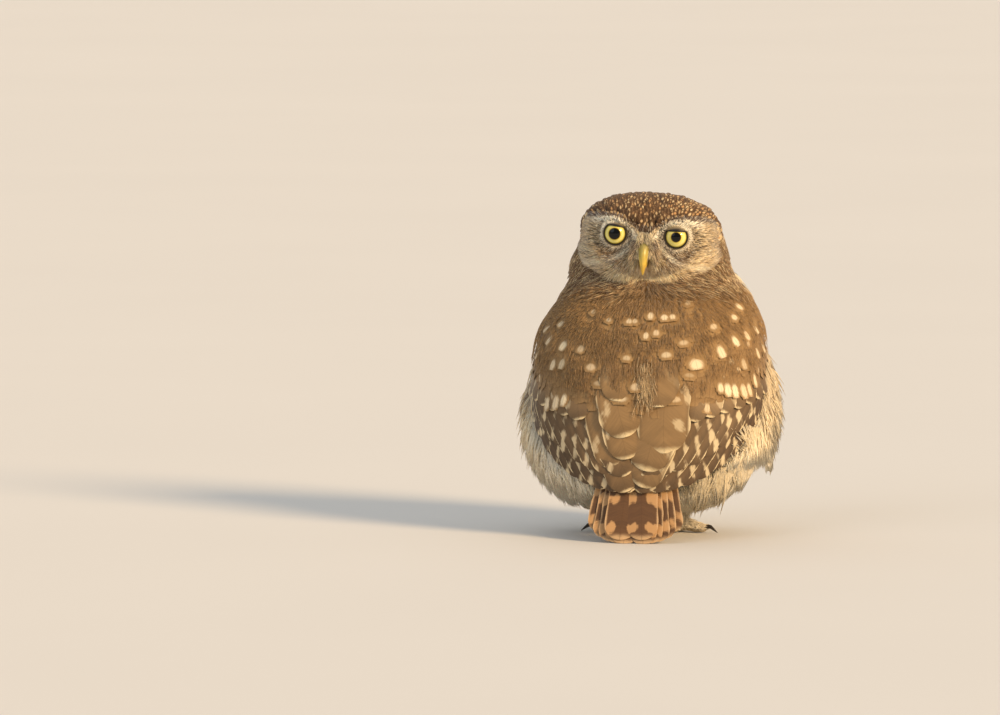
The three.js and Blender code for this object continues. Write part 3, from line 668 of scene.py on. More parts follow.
# A chord from a sunk root to a raised tip, along a heading on the body that is 0 downwards and positive
# towards growing angles
def bodySites(angle, z, heading, length, rootOut, tipOut, rows=bodyRows):
    level, down, normal = bodyFrame(angle, z, rows)
    root = bodyPoint(angle, z, rootOut, rows)
    tipAngle = angle + length * np.sin(heading) / girthAt(angle, z, rows)
    tipZ = z + length * np.cos(heading) * down[..., 2]
    tip = bodyPoint(tipAngle, np.maximum(tipZ, 13.5), tipOut, rows)
    tip[..., 2] = np.where(tipZ < 13.5, tipZ, tip[..., 2])
    return {"at": root, "lie": unit(tip - root), "out": normal, "onHead": False}


# Colours of the plumage
hue = {key: colour(value) for key, value in {
    "mantle": "#9a7b50", "mantleDark": "#816643", "nape": "#9f7f53", "wing": "#7d6140",
    "breast": "#dccaa6", "belly": "#f3e9d2", "flank": "#eddcb8", "downGrey": "#b3a68f", "streak": "#6a5038",
    "crown": "#573f29", "face": "#cdb083", "facePale": "#f0deb4", "faceDark": "#6b4f35", "brow": "#fff5de",
    "chin": "#f4dfb2", "ruff": "#a08058", "white": "#f6edd8", "olive": "#b3a679", "toe": "#a99a80",
}.items()}


def layered(tint, *layers):  # one colour of the plumage over the other, each by its share
    for tone, share in layers:
        tint = mix(tint, hue[tone], share)
    return tint


def backness(angle):  # 1 on the back, 0 on the breast
    return smooth(-np.sin(angle), -0.35, 0.05)


def bodyTint(angle, z):
    back = mix(hue["mantle"], hue["mantleDark"], 0.35 * smooth(120 - z, 0, 40))
    back = mix(back, hue["nape"], smooth(z, 132, 150) * 0.6)
    front = mix(hue["belly"], hue["breast"], smooth(z, 70, 120))
    return mix(front, back, backness(angle) * smooth(z + 30 * backness(angle), 55, 80))


# Lines of the face in the head's frame, as distances from the middle and heights in mm
browLine = ([1, 6.8, 9, 11.7, 15.7, 21, 25.5, 31, 36], [-1, 3.2, 5.8, 9.0, 11.1, 11.5, 10.7, 10.2, 10.5])
crownLine = ([0, 3, 7, 10, 12.5, 18.6, 23.6, 31, 41], [4.6, 5.6, 7.8, 9.8, 11.8, 13.4, 13.6, 12.4, 10.5])
loreLine = ([6, 8.9, 13.2, 17.4, 23, 30], [-1.2, -3.4, -7.2, -10.4, -13.4, -15.2])
chinLine = ([0, 5, 14.5, 24, 32, 37], [-23, -22.6, -20.4, -15, -9.6, -7])


def isCrown(local):  # how far a place of the head's frame lies over the crown's edge, in mm
    side = np.abs(local[..., 0])
    edge = np.interp(side, *crownLine) - 14 * smooth(local[..., 1], -14, 10)
    return local[..., 2] - edge


def nearLine(side, z, line, width):
    return np.exp(-(((z - np.interp(side, *line)) / width) ** 2))


def browShare(x, z):
    side = np.abs(x)
    line = nearLine(side, z, browLine, lerp(2.1, 2.7, smooth(x, 8, 14)))
    return np.clip(1.2 * line * smooth(side, 1, 6) * (1 - smooth(side, 27, 36)), 0, 1)


def headTint(local):
    x, y, z = local[..., 0], local[..., 1], local[..., 2]
    side, away = np.abs(x), eyeDistance(x, z)
    face, cheek = 1 - smooth(y, -18, -6), smooth(side, 5, 10) * (1 - smooth(side, 33, 38))
    ring = lambda reach, width: np.exp(-(((away - reach) / width) ** 2))
    lore = lambda up, width: nearLine(side, z - up, loreLine, width) * face
    chin = np.where(z < np.interp(side, *chinLine), 1 - 0.6 * smooth(side, 17, 26), nearLine(side, z, chinLine, 3.8))
    rings = np.clip(sum(nearLine(side, z - up, chinLine, 0.8) for up in (2.6, 5.0, 7.4)), 0, 1)
    return layered(
        hue["face"],
        ("facePale", 0.7 * hump(side, z, 30, 2, 9, 9)),
        ("facePale", 0.95 * hump(side, z, 4, 1, 6, 6)),
        ("faceDark", 0.55 * hump(side, z, 25, 4, 5, 3) + 0.6 * hump(side, z, 36, -7, 4, 2.6)),
        ("brow", 0.8 * ring(8.3, 1.4) * smooth(headShape["eyeRise"] - z, -3, 2)),
        ("faceDark", 0.55 * ring(12, 2.2) * smooth(-z, -1, 5) * smooth(side, 13, 19)),
        ("brow", lore(0, 2.2) * cheek),
        ("faceDark", 0.6 * lore(-2.6, 1.1) * cheek * (1 - smooth(side, 18, 26))),
        ("faceDark", 0.6 * lore(3.0, 1.2) * smooth(side, 10, 13) * (1 - smooth(side, 24, 32))),
        # Darker at each eye's inner corner: painted shade of the deep-set eye under the brow, over a short dark line of
        # its own
        ("faceDark", 0.6 * hump(side, z, 9.9, 3.6, 2.0, 3.2)),
        ("olive", 0.75 * hump(side, z, 7.5, -11.5, 4.5, 5.5)),
        ("faceDark", 0.75 * hump(side, z, 5.6, -7.5, 2.6, 4.0)),
        ("chin", 0.95 * chin * face),
        ("faceDark", 0.6 * rings * smooth(side, 3, 9) * (1 - smooth(side, 22, 30)) * face),
        ("brow", browShare(x, z) * face),
        ("ruff", 0.7 * smooth(y, -20, -8) * smooth(4 - z, 0, 8)),
        ("ruff", 0.55 * smooth(y, -4, 10)),
        ("crown", smooth(isCrown(local), -1.0, 0.6)),
    )


def speckled(tint, spread):  # each tuft a little lighter or darker than its place
    return tint * (1 + spread * draw.normal(0, 1, (len(tint), 1))).clip(0.35, 1.6)

# Legs as rows of height, half width, half depth and middle; toes as heading and length, and rows along them
legRows = ((3, 4.0, 4.4, 0), (10, 4.0, 4.6, -0.5), (18, 5.6, 6.6, -2), (27, 8.6, 10.6, -3.5), (38, 10, 13, -4))
toes = ((-16, 17), (14, 20), (108, 16), (196, 12))
toeRows = ((-0.15, 3.0, 5.2), (0.12, 3.6, 4.6), (0.35, 2.8, 3.6), (0.55, 3.1, 3.1), (0.76, 2.5, 2.8),
           (0.92, 2.6, 2.65), (1.02, 1.7, 2.6))


def footAt(side):
    return np.array([side * 17, 4, 0.0])


def toeAxes(heading, side):
    turn = math.radians(heading) * side
    return np.array([math.sin(turn), math.cos(turn), 0]), np.array([math.cos(turn), -math.sin(turn), 0])


print("forms ready")


# Skin: body, head, legs and toes as one closed surface, inside the solids by the depth of the coat
skinLook = {
    "voxel": 1.15,  # mm
    "body": 5.2, "mantle": 3.6, "head": 2.4,  # coat depths
    "rump": ((-0.1, 12, 4), (0.05, 15, 4.4), (0.2, 16, 3.4), (0.3, 14, 2)),  # rows towards the tail
}


def tuckedIn(angle, z):  # the lower right of the belly, where the coat is drawn in and separate locks hang free
    return smooth(50 - z, 0, 10) * smooth(np.cos(angle - 0.16), 0.1, 0.75)


def ringFaces(rings, around, start=0, closedEnds=True):
    quads = [(start + i * around + j, start + i * around + (j + 1) % around) for i in range(rings - 1) for j in range(around)]
    faces = [(a, b, b + around, a + around) for a, b in quads]
    if closedEnds:
        faces.append(tuple(start + j for j in range(around))[::-1])
        faces.append(tuple(start + (rings - 1) * around + j for j in range(around)))
    return faces


def skinForms():
    points, faces = [], []

    def lathe(rings):
        faces.extend(ringFaces(len(rings), len(rings[0]), len(points)))
        for ring in rings:
            points.extend(ring)

    angles = np.linspace(-pi, pi, 96, endpoint=False)
    under = lambda z: lerp(skinLook["body"], skinLook["mantle"], float(smooth(z, 95, 120)))
    lathe([bodyPoint(angles, z, -under(z) - 3.5 * tuckedIn(angles, z)) for z in np.linspace(15, 165, 60)])
    lathe([headPlaced(headPoint(angles, a, -skinLook["head"])) for a in np.linspace(0.05, pi - 0.05, 64)])
    sparse = angles[::4]
    for side in (-1, 1):
        foot = footAt(side)
        lathe([foot + vec(w * np.cos(angles), y + d * np.sin(angles), z + 0 * angles) for z, w, d, y in legRows])
        for heading, long in toes:
            along, across = toeAxes(heading, side)
            lathe([foot + along * long * t + np.outer(np.cos(sparse), across) * r
                   + np.outer(np.sin(sparse), (0, 0, r)) + (0, 0, z) for t, r, z in toeRows])
    lathe([np.array([0, -44 - 22 * t, 66 - 66 * t]) + vec(w * np.cos(angles), -h * np.sin(angles) + 2, 0 * angles)
           for t, w, h in skinLook["rump"]])
    return placed(np.array(points)), faces


# Skin of a living bird: soft, thin and slightly moist, mostly hidden by the coat and tinted like it
def skinMaterial():
    finish = Finish("birdSkin")
    grain = finish.where().noise(700.0, 4.0)
    base = finish.tint().times(grain.around((0.75, 1.15)))
    return finish.done(base, 0.7, (grain, 0.5, 0.3 * mm), **{"Specular IOR Level": 0.3})


def makeSkin():
    raw = meshObject("skinForm", *skinForms())
    remesh = raw.modifiers.new("voxels", "REMESH")
    remesh.mode, remesh.voxel_size, remesh.use_smooth_shade = "VOXEL", skinLook["voxel"] * mm, True
    relax = raw.modifiers.new("relax", "SMOOTH")
    relax.factor, relax.iterations = 0.5, 5
    mesh = settled(raw, "skin")
    at = meshPoints(mesh) / mm - shift
    local, height = headUnplaced(at), at[:, 2]
    onHead = smooth(headDepthOf(local) - bodyDepth(at) * 0.3, -6, -1) * smooth(height, 143, 149)
    feet = smooth(9 - height, 0, 3) * (np.abs(at[:, 0]) < 40) * (at[:, 1] > -20)
    # The skin takes the coat's colour at 0.55: painted shade for the depths of the coat where it shows through
    tint = mix(bodyTint(np.arctan2(at[:, 1], at[:, 0]), height), headTint(local), onHead) * 0.55
    setTint(mesh, layered(tint, ("toe", feet)))
    setCorners(mesh, "OFBake", np.where(onHead[:, None] > 0.5, bakePlace(at, True), bakePlace(at, False)))
    mesh.materials.clear()
    mesh.materials.append(skinMaterial())
    nodes = ("torso", "neck", "head", "leg_right", "leg_left", "foot_right", "foot_left")
    keepPiece(linked("skin", mesh), nodes)
    print("skin", len(mesh.polygons), "faces")


makeSkin()


# Head coat: small spotted vanes over crown and nape, fine tufts over the face
shapes = {
    "vane": vaneShape("vaneShape", (0, 0.22, 0.42, 0.6, 0.76, 0.89), 0.035, 0.05, 0.05),
    "smallVane": vaneShape("smallVaneShape", (0, 0.34, 0.62, 0.85), 0.05, 0.06, 0.06),
    "loose": vaneShape("looseShape", (0, 0.22, 0.42, 0.6, 0.76, 0.89), 0.12, 0.05, 0.04),
    "strand": strandShape("strandShape", ((0, 0.8), (0.5, 1.0), (1, 0)), 0.05),
    "tuft": strandShape("tuftShape", ((0, 1.0), (0.55, 0.8), (1, 0)), 0.03),
    "bristle": strandShape("bristleShape", ((0, 1.0), (0.3, 0.9), (0.6, 0.7), (0.85, 0.45), (1, 0)), 0.08),
}

# Eyes: one ball each with a bulging cornea, looking a little outwards
eyeLook = {
    "gaze": 2, "cornea": 1.1, "corneaRadius": 6.6, "pupil": {1: 2.7, -1: 3.2},
    "lidTop": {1: 3.0, -1: 4.1}, "lidSlope": {1: 0.5, -1: 6}, "opening": 6.1, "lidWidth": 58,
}


def eyeAxes(side):
    turn = math.radians(eyeLook["gaze"])
    gaze = np.array([side * math.sin(turn), -math.cos(turn), 0])
    level = np.array([math.cos(turn), side * math.sin(turn), 0])
    return gaze, level, np.array([0, 0, 1.0])


def lidEdge(side, theta):  # how far from the gaze the lids' rim stands, in mm, round the eye
    slope = math.tan(math.radians(eyeLook["lidSlope"][side])) * side
    edge = np.full(len(theta), eyeLook["opening"])
    for _ in range(4):
        top = eyeLook["lidTop"][side] + edge * np.cos(theta) * slope
        edge = np.where(np.sin(theta) > 0.05, np.minimum(eyeLook["opening"], top / np.maximum(np.sin(theta), 0.05)), edge)
    return edge


headCoat = {
    "crownSpacing": 1.6, "crownLength": 4.8, "crownWidth": 2.5,
    "faceCount": 15000, "faceLength": 3.4, "faceWidth": 0.42,
    "sideSpacing": 2.2, "sideLength": 6.5, "sideWidth": 3.2,
}


def chinHang(local):  # 1 where the beard hangs down over the mantle
    side = np.abs(local[..., 0])
    middle, under = 1 - smooth(side, 12, 20), np.interp(side, *chinLine) - local[..., 2]
    return smooth(under, -1.2 - 4.5 * middle, 1.5 - 3 * middle) * smooth(-local[..., 1], -2, 6)


def headSites(turn, away, length, rootOut, tipOut):
    column = lambda values: np.broadcast_to(values, turn.shape)[:, None]
    back, normal = headFrame(turn, away)
    root = headPoint(turn, away, 0) + normal * column(rootOut)
    x, y, z = root.T
    side, sign = np.abs(x), np.sign(x)
    fromEye = vec(x - sign * headShape["eyeSpread"], 0, z - headShape["eyeRise"])
    fromEye = unit(fromEye - normal * np.sum(fromEye * normal, -1, keepdims=True))
    near = column(np.exp(-((eyeDistance(x, z) / 13) ** 2)) * (y < 0))
    drop = np.array([0, 0, -1]) * column(0.9 * smooth(y, -12, 14) * smooth(12 - z, -6, 10))
    lores = column(nearLine(side, z, loreLine, 3.5)) * vec(sign, 0, -0.55)
    beard = 1.5 * column(nearLine(side, z, chinLine, 4.0) * smooth(side, 1, 6)) * vec(sign, 0, 0.12 + 0.5 * smooth(side, 5, 25))
    lie = back * (1 - near) + fromEye * near + drop + (lores + beard) * 1.2 * column(smooth(-y, 6, 14))
    lie = unit(lie - normal * np.sum(lie * normal, -1, keepdims=True))
    lie = unit(lie + normal * column((np.asarray(tipOut) - rootOut) / length))
    hang = column(chinHang(root) * (1 - smooth(side, 16, 24)))
    lie = unit(lie * (1 - 0.85 * hang) + hang * vec(0.012 * x, -0.68, -1))
    # Pale lines face the light a little, so that they read as they do in the photograph
    pale = np.clip(hang[:, 0] + browShare(x, z) + 0.7 * nearLine(side, z, loreLine, 2.2), 0, 1)
    lit = column(pale * smooth(-y, 12, 20) * 0.7)
    normal = unit(normal * (1 - lit) + lit * np.array([0.3, -0.75, 0.6]))
    return {"at": headPlaced(root), "lie": lie @ headTurn.T, "out": normal @ headTurn.T, "onHead": True, "local": root}


def facePlace(x, z):  # turn and away of the point of the face over a place of the head's frame
    side = np.abs(x) / (1 + 0.06 * smooth(-z, 0, headShape["bottom"] / 2))
    tall = np.where(z > 0, headShape["top"], headShape["bottom"])
    share, power = headShare(side, z), 2.35 / 2
    across, upright = (side / headShape["halfWidth"] / share) ** power, (np.abs(z) / tall / share) ** power
    return np.arctan2(np.sign(z) * upright, np.sign(x) * across), np.arcsin(np.clip(share, 0, 1) ** (2.5 / 2))


spotted = vaneMaterial("crownFeather", {
    "edgeColour": "#8d7150", "coreColour": "#3f2f20", "core": 0.5, "spotColour": "#ead4a4", "spotAt": 0.68, "spotVary": 0.9,
    "shaftColour": "#c9a878", "shaft": 0.15, "edge": 0.3, "barbMm": 0.45, "contrast": 0.18, "bump": 0.4})


def makeCrown():
    turn, away = headScatter(60000)
    base = headSites(turn, away, 4.0, -2.0, -0.4)
    local, crown = base["local"], isCrown(base["local"])
    clear = (bodyDepth(base["at"]) < 1.5) | (local[:, 1] < -24)
    onCrown = (crown > -0.9) & clear
    index = np.flatnonzero(onCrown)
    spacing = headCoat["crownSpacing"] * lerp(1.35, 1.0, smooth(-local[index, 1], -5, 22))
    kept = index[thinned(base["at"][index], spacing)]
    sites, n, x, y = pick(base, kept), len(kept), local[kept, 0], local[kept, 1]
    front = smooth(-y, -5, 22)
    sites["length"] = headCoat["crownLength"] * lerp(1.5, 1.0, front) * jitter(n, 0.12)
    sites["width"] = headCoat["crownWidth"] * lerp(1.4, 1.0, front) * jitter(n, 0.12)
    edge = (draw.uniform(0, 1, n) < smooth(-crown[kept], -1.6, 0.9)) * (y < -8)
    for key in ("length", "width"):
        sites[key] = sites[key] * (1 - 0.35 * edge)
    sites["tint"] = speckled(layered(hue["crown"], ("face", 0.55 * edge)), 0.15)
    # Pale spots come more often and wider on the right of the crown and more seldom on the left: the crown's own spots,
    # with painted light on the right and painted shade on the left
    share = lerp(0.45, 0.66, front) - 0.22 * smooth(-x, 4, 22) + 0.25 * smooth(x, 4, 22)
    sites["mark"] = randomMarks(n, share, (0.45, 1.0), (0.17, 0.34), (0.16, 0.32))
    sites["mark"][:, 1] += 0.08 * smooth(x, 6, 22)
    plant("crownFeathers", "smallVane", sites, spotted, 0.1, 0.22, 5)

    # The sides and the hind cheeks, down to the mantle
    index = np.flatnonzero(~onCrown & clear & (local[:, 1] > -13))
    kept = index[thinned(base["at"][index], headCoat["sideSpacing"])]
    sites, n, (x, y, _) = headSites(turn[kept], away[kept], headCoat["sideLength"], -2.0, 0.8), len(kept), local[kept].T
    sites["length"] = headCoat["sideLength"] * jitter(n, 0.15)
    sites["width"] = headCoat["sideWidth"] * jitter(n, 0.15)
    sites["at"][:, 0] += 2.2 * smooth(-x, 30, 38) - 0.8 * smooth(x, 34, 40)
    sites["tint"] = speckled(layered(headTint(local[kept]), ("crown", 0.85 * smooth(y, -4, 8))), 0.16)
    sites["mark"] = randomMarks(n, 0.7, (0.5, 0.9), (0.2, 0.34), (0.16, 0.26))
    plant("cheekFeathers", "smallVane", sites, spotted, 0.12, 0.25, 6)


def makeFace(down):  # fine tufts, short round the eyes and longer towards the rim
    turn, away = headScatter(headCoat["faceCount"] * 4)
    local = headPoint(turn, away)
    x, y, z = local.T
    keep = (y < -6) & (isCrown(local) < 1.0) & (eyeDistance(x, z) > 6.9)
    keep &= ~((np.abs(x) < 3.0) & (z < -2.5) & (z > -13))  # the bill's place
    keep = np.flatnonzero(keep)[:headCoat["faceCount"]]
    turn, away, local = turn[keep], away[keep], local[keep]
    x, y, z = local.T
    n, side, eyeAway, brow = len(x), np.abs(x), eyeDistance(x, z), browShare(x, z)
    hang, nearEye = chinHang(local), 1 - smooth(eyeAway, 7, 10)
    long = headCoat["faceLength"] * lerp(0.6, 1.3, smooth(eyeAway, 7, 20))
    long = long * (1 + (0.4 + 0.5 * (1 - smooth(side, 4, 17))) * hang) * jitter(n, 0.2)
    tipOut = 0.4 + 0.4 * smooth(eyeAway, 8, 18) * (1 - smooth(side, 28, 38)) + 1.3 * nearEye
    sites = headSites(turn, away, long, lerp(-1.6, 0.2, nearEye), tipOut)
    sites["at"][:, 0] += 1.5 * smooth(-x, 31, 38)  # the left cheek is held in closer
    sites.update(length=long, width=headCoat["faceWidth"] * (1 + 0.35 * brow) * jitter(n, 0.25))
    streaks = draw.uniform(0, 1, n)
    darker = (streaks < 0.24) * (1 - nearEye) * smooth(side, 3, 9) * (1 - brow)
    darker = darker * (1 - 0.8 * nearLine(side, z, loreLine, 2.2)) * (1 - 0.7 * hang * (1 - smooth(side, 15, 23)))
    tint = headTint(local + (sites["lie"] @ headTurn) * (0.55 * long)[:, None])
    tint = layered(tint, ("faceDark", 0.72 * darker), ("brow", 0.5 * (streaks > 0.78)))
    sites["tint"] = speckled(tint, 0.12)
    plant("faceTufts", "tuft", sites, down, 0.1, 0.16, 7)


# Stiff bristles over the bill's base, beside it and along the lores: how many, their span across and upwards on
# the right half of the face, the way they fall, their length and their colour
bristleBeds = (
    (210, (0.1, 3.6), (1.0, 5.2), (0.12, -1.0, -0.8), (4.6, 6.6), "facePale"),
    (110, (2.5, 4.3), (-7.0, 0.5), (-0.04, -0.95, -1.0), (4.5, 7.0), "chin"),
    (120, (4.0, 6.5), (-9.0, 1.0), (0.5, -0.4, -1.0), (5.5, 8.5), "face"),
    (60, (3.4, 6.5), (-12.0, -5.0), (0.5, -0.3, -1.0), (5.0, 8.0), "olive"),
    (50, (1.8, 4.4), (-3.0, 0.6), (0.6, -0.75, -0.5), (4.5, 7.5), "streak"),
)


def makeBristles(down):
    at, lie, tint, long = [], [], [], []
    for side in (-1, 1):
        for n, x, z, fall, reach, tone in bristleBeds:
            px, pz = side * draw.uniform(*x, n), draw.uniform(*z, n)
            at.append(headPoint(*facePlace(px, pz), -0.6))
            lie.append(unit(vec(side * fall[0], fall[1], fall[2] + 0 * px) + draw.normal(0, 0.16, (n, 3))))
            long.append(draw.uniform(*reach, n))
            shade = layered(hue[tone], ("brow", draw.uniform(0, 0.5, n)))
            tint.append(speckled(layered(shade, ("streak", 0.7 * (draw.uniform(0, 1, n) < 0.3))), 0.14))
    # Down of the lids, from the bare rim outwards
    for side in (-1, 1):
        n = 900
        gaze, level, upright = eyeAxes(side)
        theta = draw.uniform(0, 2 * pi, n)
        c, v = np.cos(theta), np.sin(theta)
        radial = np.outer(c, level) + np.outer(v, upright)
        brim = lidEdge(side, theta) + lerp(1.25, 0.8, smooth(v, 0, 0.6))
        reach = brim + draw.uniform(0, 1, n) * np.maximum(8.4 - brim, 0.3)
        polar = np.arcsin(np.clip(reach / 9.2, 0, 0.97))[:, None]
        at.append(eyeLocal[side] + 8.9 * (np.cos(polar) * gaze + np.sin(polar) * radial))
        way = np.cos(polar) * radial - np.sin(polar) * gaze * 0.75 + 0.4 * side * smooth(v, 0.2, 0.8)[:, None] * level
        lie.append(unit(way + draw.normal(0, 0.1, (n, 3))))
        long.append(draw.uniform(1.4, 2.4, n))
        shade = layered(hue["brow"], ("face", 0.7 * smooth(-v, -0.3, 0.6) * draw.uniform(0, 1, n)))
        # Darker towards each eye's inner corner: painted shade of the deep-set eye under the brow, over a short dark
        # line of its own
        tint.append(speckled(layered(shade, ("faceDark", 0.75 * smooth(-side * c, 0.55, 0.95))), 0.08))
    at = np.concatenate(at)
    sites = {
        "at": headPlaced(at), "lie": np.concatenate(lie) @ headTurn.T, "onHead": True,
        "out": np.tile((0, -1.0, 0.2), (len(at), 1)) @ headTurn.T, "length": np.concatenate(long),
        "width": 0.26 * jitter(len(at), 0.3), "tint": np.concatenate(tint)}
    plant("billBristles", "bristle", sites, down, 0.1, 0.15, 18)


makeCrown()
faceDown = downMaterial("faceDown", 0.86, 1.14)
makeFace(faceDown)
makeBristles(faceDown)


# Body coat: rows of contour vanes from the lowest up, each tip over the roots of the row below
bodyCoat = {
    "mantle": {"low": 80, "high": 156, "step": 4.4, "spacing": 6.0, "length": 14, "width": 11},
    "breast": {"low": 40, "high": 150, "step": 4.6, "spacing": 5.6, "length": 14, "width": 7.5},
    "outward": 0.55,  # radians that the shoulder feathers turn away from the middle of the back
}
# Where the folded wing lies, by angle in degrees: the scapular line above and the feather tips' line below
wingLine = {
    "angle": [-90, -75, -60, -45, -30, -15, 0, 12, 24, 30],
    "high": [98, 101, 106, 112, 118, 122, 124, 123, 118, 112],
    "plate": [66, 68, 71, 75, 80, 86, 93, 101, 112, 112],
    "tips": [27, 28.5, 33, 41, 54, 68, 88, 100, 111, 112],
}


def rightSide(angle):  # an angle on either side as degrees on the right: -90 back, 90 breast
    return np.degrees(np.arcsin(np.sin(angle)))


def wingEdge(angle, key):
    return np.interp(rightSide(angle), wingLine["angle"], wingLine[key])


def rowSites(look, region, heading, rootOut, tipOut, rows=bodyRows):
    angles, heights = [], []
    for i, z in enumerate(np.arange(look["low"], look["high"], look["step"])):
        dense = np.linspace(-pi, pi, 721)
        ring = bodyPoint(dense, z, 0, rows)
        run = np.r_[0, np.cumsum(np.linalg.norm(np.diff(ring, axis=0), axis=1))]
        count = int(run[-1] / look["spacing"])
        a = np.interp((np.arange(count) + 0.5 * (i % 2)) * run[-1] / count, run, dense)
        angles.append(a + draw.normal(0, 0.016, count))
        heights.append(z + draw.normal(0, 0.7, count))
    angle, z = np.concatenate(angles), np.concatenate(heights)
    keep = region(angle, z)
    angle, z = angle[keep], z[keep]
    length = look["length"] * jitter(len(z), 0.08)
    sites = bodySites(angle, z, heading(angle, z), length, rootOut, tipOut, rows)
    return {**sites, "length": length, "width": look["width"] * jitter(len(z), 0.08), "angle": angle, "z": z}


def fromMiddle(angle):  # -1 on the left flank through 0 at the middle of the back to 1 on the right
    return np.clip(((angle + 1.5 * pi) % (2 * pi) - pi) / (0.5 * pi), -1, 1)


def capeHeading(angle, z):
    out = fromMiddle(angle)
    return bodyCoat["outward"] * np.sign(out) * smooth(np.abs(out), 0.05, 0.7) * smooth(z, 96, 122)


def mantleLow(angle):  # the lowest roots of the small back feathers, which run down between the wings
    middle = np.exp(-((np.degrees(angle) + 88) / 9) ** 2)
    return wingEdge(angle, "high") + 2 - 9 * (rightSide(angle) > 20) - 4 * middle


# The ruff stands a little off the neck and carries the head's sides over into the shoulders
ruffRows = np.array([
    (134, 55.6, 43.5, 43.5, 2), (140, 51.6, 38.6, 40.5, 2), (146, 48.6, 33.6, 38.5, 2), (152, 46.6, 30.5, 37, 1.5),
    (158, 44.8, 28.5, 36, 1), (164, 43.2, 27.5, 35, 0), (170, 42.0, 26.5, 34, -1), (176, 40.6, 25.5, 33, -1),
], float)


def ruffHigh(angle):  # how high the ruff climbs: under the chin at the back, up the sides and the nape
    fromBack = np.degrees((angle + 1.5 * pi) % (2 * pi) - pi)
    return np.interp(fromBack, [-180, -110, -85, -68, -55, -40, -20, 0, 20, 40, 55, 68, 80, 110, 180],
                     [169, 167, 162, 159, 157, 152, 144.5, 142, 144.5, 152, 160, 168, 171, 169, 169])


def neckShift(angle, z):  # the ruff leans to the left, more on its right side
    right = smooth(np.cos(angle), -0.5, 0.6)
    return lerp(2.4 * smooth(z, 148, 156) * (1 - smooth(z, 157, 166)), 4.4 * smooth(z, 137, 150) - 1.7 * smooth(z, 156, 165), right)


# Pale spots of the back, as angle in degrees, height of the spot in mm, its width and length, and strength.
# They stand in rows across the mantle and down both scapular tracts.
backSpots = [
    (-111.7, 121.4, 3.2, 3.0, 0.55), (-99.6, 122.2, 3.0, 3.2, 0.8), (-94.3, 121.7, 2.6, 3.0, 0.7), (-85, 124.8, 3.0, 4.6, 0.8),
    (-75.6, 124.1, 3.4, 3.6, 0.95), (-69.2, 124.2, 3.2, 3.4, 0.95), (-86.2, 115.1, 2.6, 4.0, 0.8), (-79.8, 116.5, 3.2, 3.6, 0.75),
    (-44.6, 119.3, 3.8, 3.2, 0.7), (-58, 131, 3.2, 2.6, 0.4), (-30, 123.6, 3.2, 3.4, 0.85), (-38, 136, 3.0, 4.0, 0.6), (-22, 128.8, 2.6, 5.0, 0.8),
    (-32.5, 111.5, 3.4, 6.0, 0.95), (-22.5, 114.1, 3.0, 6.5, 0.95), (-11.5, 116.8, 2.8, 6.5, 0.9), (-6, 106.6, 2.6, 7, 0.8), (-14, 103.6, 2.8, 7, 0.85),
    (-42.5, 106, 4.2, 7.5, 1.0), (-56.8, 99.8, 7.4, 6.0, 1.0), (-73.5, 105.2, 5.2, 3.2, 0.6), (-62.5, 111.2, 5.0, 3.0, 0.5), (-28, 98.6, 3.4, 6.0, 0.5),
    (-95.4, 103, 4.6, 2.8, 0.55), (-137.1, 108, 4.0, 5.5, 0.95), (-141.6, 97.8, 3.4, 6.0, 0.95), (-134.6, 98.2, 3.8, 6.4, 0.6),
    (-116, 97.6, 5.2, 3.8, 0.7), (-124, 106.6, 4.0, 4.2, 0.6), (-150, 110.1, 3.0, 6, 0.85), (-158, 115.4, 2.6, 6, 0.8), (-161, 102.6, 2.6, 7, 0.8), (-146, 119.2, 3.0, 5, 0.7), (-126, 125.2, 3.0, 3.2, 0.5),
    (-118, 134, 2.8, 2.6, 0.4), (-70, 138, 2.8, 2.4, 0.35), (-100, 137, 2.6, 2.4, 0.3),
]
# The row of white ovals under each scapular tract, and the pale crescents in the middle of the back
ovalSpots = [
    (-44, 86.4, 4.4, 6.5, 0.9), (-40.4, 85, 5.6, 8.5, 1.0), (-36.2, 84.2, 5.2, 9.0, 1.0), (-31.6, 84.2, 4.8, 8.6, 1.0),
    (-27, 84.6, 4.0, 8.6, 1.0), (-20.5, 88.4, 3.4, 9.5, 0.9),
    (-142.6, 76.2, 4.6, 9.0, 1.0), (-136, 77, 5.2, 9.4, 1.0), (-129.8, 78.2, 4.8, 8.4, 1.0),
]
crescentSpots = [
    (-90, 87.6, 7.0, 5.0, 0.8), (-71.2, 89.1, 8.0, 4.6, 0.75), (-98, 80.6, 9.0, 4.0, 0.8), (-69.6, 81, 8.5, 3.8, 0.8),
    (-52, 75.1, 4.4, 7.0, 0.9), (-60, 93.6, 7, 3, 0.35), (-110, 88.6, 7, 3.4, 0.45),
]


def spotSites(spots, length, width, lift, heading, rows=cloakRows):
    degrees, z, spotWidth, spotLength, strength = np.array(spots).T
    angle, longs = np.radians(degrees), np.full(len(z), float(length))
    turn, back = heading(angle, z), 0.76 * length
    rootAngle, rootZ = angle - back * np.sin(turn) / girthAt(angle, z, rows), z + back * np.cos(turn)
    sites = bodySites(rootAngle, rootZ, turn, longs, -2.6 + lift, 0.8 + lift, rows)
    wide = np.maximum(width, spotWidth * 1.5)
    marks = vec(strength, 0.5 * spotWidth / wide, 0.5 * spotLength / length)
    return {**sites, "length": longs, "width": wide, "angle": angle, "z": z, "mark": marks}


def offHead(points):  # true where a place of the neck isn't inside the head
    return headDepthOf(headUnplaced(points)) < 2.5


